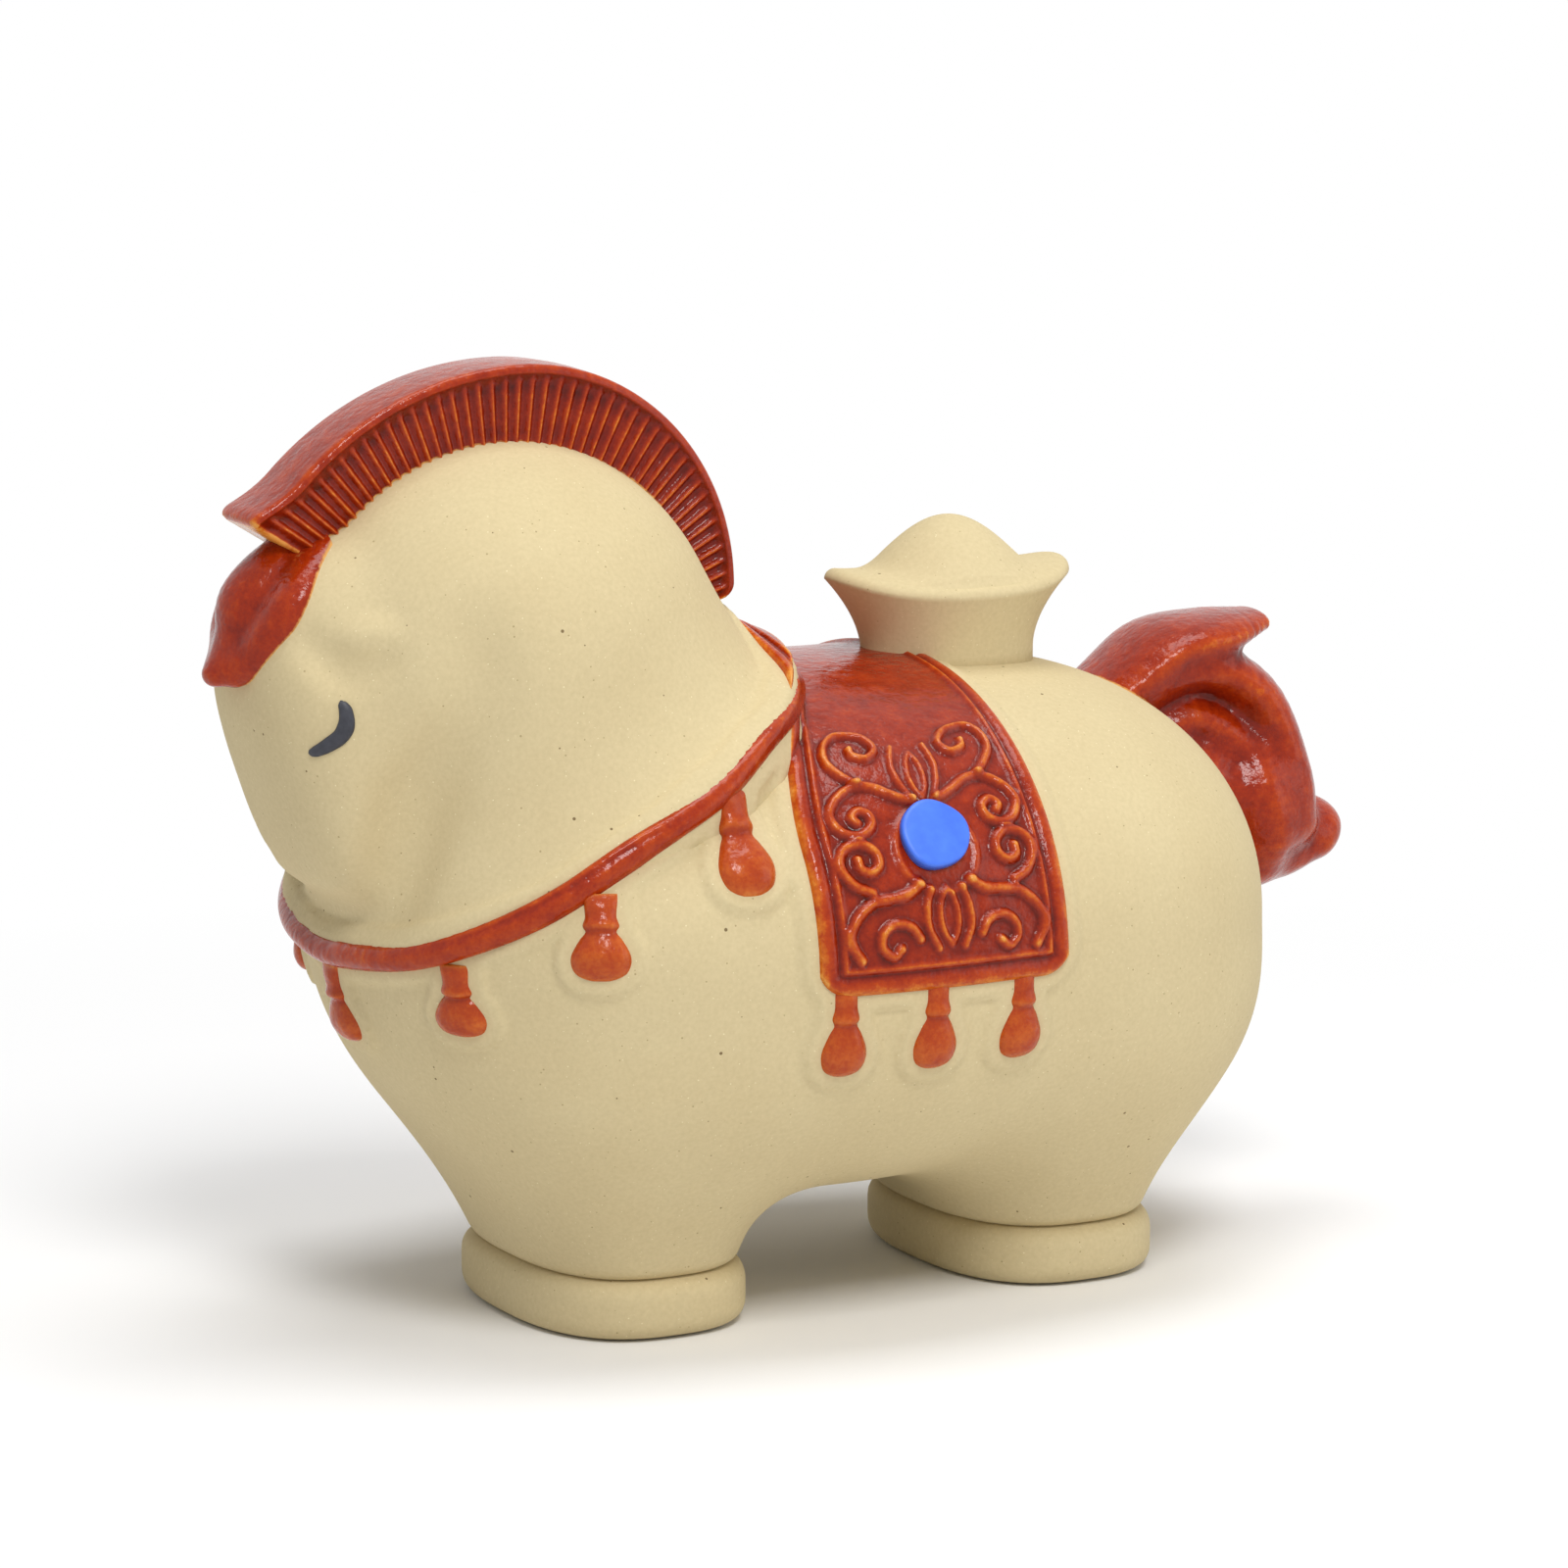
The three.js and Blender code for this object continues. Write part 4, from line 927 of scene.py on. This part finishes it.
# A tassel from its root to its tip: shares of its length, width and height
TASSEL_PROFILE = (
    (0.0, 0.62, 0.3), (0.12, 0.56, 0.66), (0.26, 0.54, 0.78), (0.36, 0.62, 0.95), (0.43, 0.56, 0.7),
    (0.52, 0.74, 0.85), (0.68, 0.98, 1.1), (0.8, 1.0, 1.1), (0.91, 0.84, 0.9), (0.98, 0.45, 0.5),
    (1.0, 0.06, 0.1),
)
TASSEL_RELIEF = 1.25
TASSEL_SEAT = 0.08
TASSEL_UNDER = 0.5
COLLAR_TASSEL = 4.6
SADDLE_TASSEL = 3.7
# How far each tassel's root reaches above its node, to what it hangs on
BREAST_ROOT = 1.7
COLLAR_ROOT = 0.4
SADDLE_ROOT = 1.6
# The third on each side hangs further below the strap
TOP_ROOT = 3.4
TOP_RAISE = 1.2
THIN_EDGE = 0.05
THIN_TONES = (
    (0.0, "6e1a08"), (0.3, "962c0c"), (0.52, "ab3f10"), (0.72, "c05a1c"), (0.88, "d0792e"), (1.0, "e0a254"),
)

thin_glaze = iron_glaze("thin_iron_glaze", THIN_TONES, THIN_EDGE)


def tassel(name, replaced, width, root, raised=0.0):
    """Lofts a tassel down the skin, with its root reaching up to what it hangs on."""
    low, high = node_box(replaced)
    middle = (low + high) / 2
    length = high[2] - low[2]
    way_out = np.array([-1.0, 0, 0])
    if abs(middle[1]) > 1:
        way_out = unit(np.array([middle[0] - barrel[0], 1.6 * middle[1], 0]))
    centre = reach(body, middle - 6 * way_out, way_out, 0, 14)[0]
    out = unit(slope_at(body, centre[None]))[0]
    down = unit(out * out[2] - (0, 0, 1))
    wide = np.cross(out, down)
    share = np.linspace(0, 1, 52)
    profile = smooth_path(TASSEL_PROFILE, 200)
    half = np.interp(share, profile[:, 0], profile[:, 1]) * width / 2
    height = np.interp(share, profile[:, 0], profile[:, 2]) * TASSEL_RELIEF
    across, rise = cushion(27, 2.4)
    fall = share * (length + root) - root - length / 2 - raised
    flat = centre + fall[:, None, None] * down + (half[:, None] * across)[:, :, None] * wide
    outs = np.repeat(out[None], flat[..., 0].size, 0)
    seat = lay_on_clay(flat.reshape(-1, 3), outs, 6.0).reshape(flat.shape)
    top = seat + (height[:, None] * rise - TASSEL_SEAT)[:, :, None] * out
    made = piece(name, *loft(np.concatenate([top, seat[:, ::-1] - TASSEL_UNDER * out], 1)), thin_glaze)
    keep_relief(made, 8, 0.6)
    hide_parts(replaced)
    return made


hanging = [tassel("breast_tassel", "collar_tassel_centre", COLLAR_TASSEL, BREAST_ROOT)]
for side in ("left", "right"):
    for number, root, raised in ((1, COLLAR_ROOT, 0.0), (2, COLLAR_ROOT, 0.0), (3, TOP_ROOT, TOP_RAISE)):
        name, replaced = f"{side}_neck_tassel_{number}", f"{side}_collar_tassel_{number}"
        hanging.append(tassel(name, replaced, COLLAR_TASSEL, root, raised))

# Saddle cloth
# A thin sheet of clay laid over the back, pressed from a carved stamp: a smooth hem, an inner line,
# and on each flank scrolls and petals round the place of the gem. It is glazed all over.

CLOTH_LENGTH = 21.3
CLOTH_FRONT = -10.9
CLOTH_REACH = 91.2
CLOTH_SWEEP = 4.5
SWEEP_FROM = 22
SWEEP_OVER = 44
CLOTH_THICKNESS = 0.9
CLOTH_CORNER = 2.5
CLOTH_EDGE = 0.7
CLOTH_SEAT = 0.08
CLOTH_UNDER = 0.4
CLOTH_CELL = 0.16
# The lines along the edge and round the gem: how far in each lies, its half width and its height
HEM = (0.85, 0.55, 0.14)
GROOVE = (1.6, 0.22, -0.16)
INNER_LINE = (2.05, 0.26, 0.26)
COLLET = (3.3, 0.3, 0.22)
GEM_ANGLE = 68.3

arc = BARREL[1] / 2 * math.pi / 180
cloth_reach = CLOTH_REACH * arc
gem_line = GEM_ANGLE * arc

# The stamp's lines: half width, relief, then places in millimetres from the gem, along the horse and
# up the flank. Each has a twin on the other side of the gem.
STAMP = (
    (0.47, 0.5, ((1.0, 3.9), (2.6, 4.7), (4.1, 5.6), (5.4, 5.8), (6.6, 5.3), (7.6, 4.3), (7.9, 3.2),
                 (7.2, 2.0), (6.0, 1.6), (4.9, 2.2), (4.8, 3.1), (5.6, 3.6), (6.2, 3.1), (5.9, 2.6))),
    (0.45, 0.5, ((5.3, 6.0), (6.4, 7.0), (7.4, 8.5), (7.4, 10.1), (6.5, 11.2), (5.2, 11.2),
                 (3.9, 10.7), (3.1, 9.7), (3.1, 9.0), (3.9, 8.4), (5.0, 8.8), (5.2, 9.5))),
    (0.47, 0.5, ((2.1, -2.5), (3.3, -3.2), (4.9, -3.4), (6.2, -3.6), (7.4, -4.5), (8.1, -5.6),
                 (8.0, -6.6), (7.4, -7.6))),
    (0.42, 0.45, ((2.6, -6.4), (3.3, -5.5), (4.5, -5.2), (5.5, -5.8), (5.7, -6.8), (4.9, -7.5),
                  (4.2, -7.0))),
    (0.45, 0.5, ((6.0, -2.8), (7.2, -2.2), (8.0, -1.0), (7.9, 0.2), (7.0, 0.9), (5.9, 0.9),
                 (5.1, 0.2), (5.0, -0.7), (5.7, -1.3), (6.5, -1.0), (6.6, -0.3))),
    (0.34, 0.36, ((1.3, -2.9), (1.75, -4.2), (1.8, -5.7), (1.1, -7.2))),
    (0.34, 0.36, ((0.9, 4.1), (1.6, 5.6), (1.9, 7.4), (1.5, 9.3))),
    (0.26, 0.3, ((0.0, -2.9), (0.55, -3.8), (0.75, -5.0), (0.55, -6.1), (0.0, -7.0))),
    (0.26, 0.3, ((0.0, 4.2), (0.5, 5.2), (0.65, 6.4), (0.5, 7.6), (0.0, 8.6))),
)


def ridge(gap, place):
    """A soft ridge or groove in the stamp: its place, half width and height."""
    middle, half, height = place
    return height * np.exp(-(((gap - middle) / half) ** 2))


def stamp(u, v):
    """How high the pattern stands, at a distance from the front edge and from the ridge of the back."""
    edge = np.minimum(np.minimum(u, CLOTH_LENGTH - u), cloth_reach - np.abs(v))
    a = np.abs(u - CLOTH_LENGTH / 2)
    b = gem_line - np.abs(v)
    relief = ridge(edge, HEM) + ridge(edge, GROOVE) + ridge(edge, INNER_LINE)
    relief = relief + ridge(np.hypot(a, b), COLLET)
    for half, height, path in STAMP:
        near = np.full(a.shape, 9.0)
        for x, y in smooth_path(path, 8 * len(path)):
            near = np.minimum(near, np.hypot(a - x, b - y))
        relief = relief + height * np.maximum(1 - (near / half) ** 2, 0) ** 0.7
    return relief


def cloth_rings():
    """The cloth's rows from front to rear, laid over the back and swept back at the top."""
    rows = np.linspace(0, CLOTH_LENGTH, int(CLOTH_LENGTH / CLOTH_CELL) + 1)
    lines = np.linspace(-cloth_reach, cloth_reach, int(2 * cloth_reach / CLOTH_CELL) + 1)
    u, v = np.meshgrid(rows, lines, indexing="ij")
    edge = np.minimum(u, CLOTH_LENGTH - u)
    inset = np.maximum(CLOTH_CORNER - edge, 0)
    drop = CLOTH_CORNER - np.sqrt(CLOTH_CORNER ** 2 - inset ** 2)
    angle = v * (1 - drop / cloth_reach) / arc
    high = 1 - np.clip((np.abs(angle) - SWEEP_FROM) / SWEEP_OVER, 0, 1)
    high = high * high * (3 - 2 * high)
    x = barrel[0] + CLOTH_FRONT + u + CLOTH_SWEEP * high * (1 - u / CLOTH_LENGTH)
    turned = np.radians(angle)
    way = np.stack([np.zeros_like(x), np.sin(turned), np.cos(turned)], 2).reshape(-1, 3)
    start = np.stack([x.ravel(), np.zeros(x.size), np.full(x.size, barrel[2])], 1)
    skin = reach(clay_skin, start, way, 0, 40)
    out = unit(slope_at(body, skin))
    border = np.minimum(edge, cloth_reach - np.abs(v))
    roll = np.clip(border / CLOTH_EDGE, 0, 1)
    rise = CLOTH_THICKNESS * np.sqrt(1 - (1 - roll) ** 2) + stamp(u, v) * np.clip(2 * roll, 0, 1)
    top = (skin + out * (rise.reshape(-1, 1) - CLOTH_SEAT)).reshape(*u.shape, 3)
    under = (skin - CLOTH_UNDER * out).reshape(*u.shape, 3)[:, ::-1]
    return np.concatenate([top, under], 1)


cloth = piece("saddle_blanket", *loft(cloth_rings()), glaze)
keep_relief(cloth, 12, 0.5)
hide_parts("saddle_cloth")

for side in ("left", "right"):
    for place in ("front", "middle", "rear"):
        name, replaced = f"{side}_fringe_tassel_{place}", f"{side}_saddle_tassel_{place}"
        hanging.append(tassel(name, replaced, SADDLE_TASSEL, SADDLE_ROOT))

# Gems
# A flat disc of clay on each flank, painted with thick blue glaze by hand, so that its outline is a
# little uneven and its face is nearly flat.

GEM_RADIUS = 2.8
GEM_RELIEF = 0.6
# The disc from its foot over its edge to its middle: shares of its radius and height
GEM_PROFILE = (
    (1.0, -0.6), (1.0, 0.5), (0.985, 0.74), (0.94, 0.9), (0.86, 0.96), (0.6, 1.0), (0.3, 1.04),
    (0.001, 1.05),
)
# The waves round its edge: how many, how deep and where they start
GEM_WAVES = ((2, 0.03, 0.6), (3, 0.025, 1.9), (5, 0.015, 0.0))


def blue_glaze():
    """Satin cobalt glaze: opaque, softly shiny, with faint brush streaks."""
    material, tree, place = empty_material("cobalt_blue_glaze")
    streak = node(tree, "ShaderNodeTexNoise", {"Vector": place, "Scale": per_mm(1.2), "Detail": 3.0})
    colour = mix(tree, streak, linear("2f60dc"), linear("4a80f2"))
    coat(tree, colour, (streak, 0.35, 0.12), {"Roughness": 0.45, "IOR": 1.5})
    return material


cobalt = blue_glaze()
for name, side in (("left", -1), ("right", 1)):
    middle = node_middle(f"{name}_saddle_gem")
    seat = reach(body, (middle[0], 0, middle[2]), (0, side, 0), 0, 40)[0]
    out = unit(slope_at(body, seat[None]))[0]
    along = unit(np.array([1.0, 0, 0]) - out * out[0])
    up = np.cross(out, along)
    turn = np.linspace(0, 2 * math.pi, 64, endpoint=False)
    uneven = GEM_RADIUS * (1 + sum(deep * np.sin(waves * turn + first) for waves, deep, first in GEM_WAVES))
    rings = []
    for share, height in GEM_PROFILE:
        flat = np.outer(np.cos(turn) * uneven * share, along) + np.outer(np.sin(turn) * uneven * share, up)
        rings.append(seat + flat + out * (CLOTH_THICKNESS + height * GEM_RELIEF))
    gem = piece(f"{name}_blue_gem", *loft(np.array(rings)), cobalt)
    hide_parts(f"{name}_saddle_gem")

# Pressed edge
# Pressing an ornament on pushes the clay round it up, and a sponge then smooths that into a low
# step, which shows as a faint line outside the cloth, the collar and each tassel.

STEP_RELIEF = 0.42
STEP_REACH = 0.85
STEP_FALL = 0.5

pressed = (cloth, strap, *hanging)
tree = KDTree(sum(len(made.data.vertices) for made in pressed))
for made in pressed:
    for vertex in made.data.vertices:
        tree.insert(vertex.co, vertex.index)
tree.balance()
for shown in (body_shell, clay_head):
    mesh = shown.data
    places, normals = read_mesh(mesh)
    gap = np.array([tree.find(place)[2] for place in places]) / MM
    fall = np.clip((STEP_REACH + STEP_FALL - gap) / STEP_FALL, 0, 1)
    lift = STEP_RELIEF * fall * fall * (3 - 2 * fall)
    mesh.vertices.foreach_set("co", (places + normals * lift[:, None] * MM).ravel())
    mesh.update()

# Studio
# The figure stands on a white sweep, under one broad soft lamp from above and to the left, with a
# weak one on the right.

FLOOR_SIZE = 3.0
SHADOW_NEAR = 0.06
SHADOW_FAR = 0.16
SKY = 0.36
LAMP_AIM = Vector((0, 0, 0.035))


def seen_share(tree):
    """1 for what is seen straight, in a reflection or through glass, and 0 for what only lights."""
    path = node(tree, "ShaderNodeLightPath")
    seen = path.outputs["Is Camera Ray"]
    for kind in ("Is Glossy Ray", "Is Transmission Ray"):
        seen = node(tree, "ShaderNodeMath", {0: seen, 1: path.outputs[kind]}, operation="MAXIMUM")
    return seen


def white_sweep():
    """A white table: it shows as white, and keeps only the soft shadow under the figure."""
    material, tree, place = empty_material("white_sweep")
    distance = node(tree, "ShaderNodeVectorMath", {0: place}, operation="LENGTH").outputs["Value"]
    near = node(tree, "ShaderNodeMapRange", {
        "Value": distance, "From Min": SHADOW_NEAR, "From Max": SHADOW_FAR, "To Min": 1.0, "To Max": 0.0})
    matt = node(tree, "ShaderNodeBsdfDiffuse", {"Color": linear("f4f4f4")})
    glow = node(tree, "ShaderNodeEmission", {"Color": linear("ffffff"), "Strength": 1.0})
    faded = node(tree, "ShaderNodeMixShader", {0: near, 1: glow, 2: matt})
    shown = node(tree, "ShaderNodeMixShader", {0: seen_share(tree), 1: matt, 2: faded})
    node(tree, "ShaderNodeOutputMaterial", {"Surface": shown})
    return material


floor_mesh = bpy.data.meshes.new("floor")
corner = FLOOR_SIZE / 2
floor_corners = [(-corner, -corner, 0), (corner, -corner, 0), (corner, corner, 0), (-corner, corner, 0)]
floor_mesh.from_pydata(floor_corners, [], [(0, 1, 2, 3)])
floor_mesh.materials.append(white_sweep())
floor = put("floor", floor_mesh)

world = bpy.data.worlds.new("studio")
bpy.context.scene.world = world
world.use_nodes = True
world.node_tree.nodes.clear()
air = world.node_tree
strength = node(air, "ShaderNodeMapRange", {"Value": seen_share(air), "To Min": SKY, "To Max": 1.0})
sky = node(air, "ShaderNodeBackground", {"Color": linear("ffffff"), "Strength": strength})
node(air, "ShaderNodeOutputWorld", {"Surface": sky})


def aimed(name, data, place, way):
    """Puts a lamp or the camera at a place, looking along a way."""
    made = put(name, data)
    made.location = place
    made.rotation_mode = "QUATERNION"
    made.rotation_quaternion = way.to_track_quat("-Z", "Y")
    return made


for name, place, size, power in (
    ("key_softbox", (-0.12, -0.5, 0.62), 0.2, 3.0),
    ("top_softbox", (0.05, 0.0, 0.75), 0.35, 2.7),
    ("fill_softbox", (0.55, -0.45, 0.25), 0.4, 0.7),
):
    lamp = bpy.data.lights.new(name, "AREA")
    lamp.shape = "RECTANGLE"
    lamp.size = size
    lamp.size_y = size * 1.3
    lamp.energy = power
    aimed(name, lamp, place, LAMP_AIM - Vector(place))

# Camera
# The photograph was taken from 28 degrees round towards the head and 10 degrees up. One millimetre
# of the figure is 13.1 pixels of the photograph's 1600.

PHOTO = 1600
PIXELS_PER_MM = 13.1
CAMERA_DISTANCE = 530.0
AZIMUTH = -28.0
ELEVATION = 10.3
AIM = Vector((-2.3, 0, 35.0))
AIM_PIXEL = (783, 860)
SENSOR = 36.0

a, e = math.radians(AZIMUTH), math.radians(ELEVATION)
back = Vector((math.sin(a) * math.cos(e), -math.cos(a) * math.cos(e), math.sin(e)))
right = Vector((0, 0, 1)).cross(back).normalized()
up = back.cross(right)
eye_place = AIM + back * CAMERA_DISTANCE
eye_place += right * ((PHOTO / 2 - AIM_PIXEL[0]) / PIXELS_PER_MM)
eye_place -= up * ((PHOTO / 2 - AIM_PIXEL[1]) / PIXELS_PER_MM)
camera_data = bpy.data.cameras.new("camera")
camera_data.sensor_width = SENSOR
camera_data.lens = PIXELS_PER_MM * CAMERA_DISTANCE / PHOTO * SENSOR
camera_data.clip_start = 0.01
camera_data.clip_end = 10
bpy.context.scene.camera = aimed("camera", camera_data, eye_place * MM, -back)
bpy.context.scene.view_settings.view_transform = "Standard"
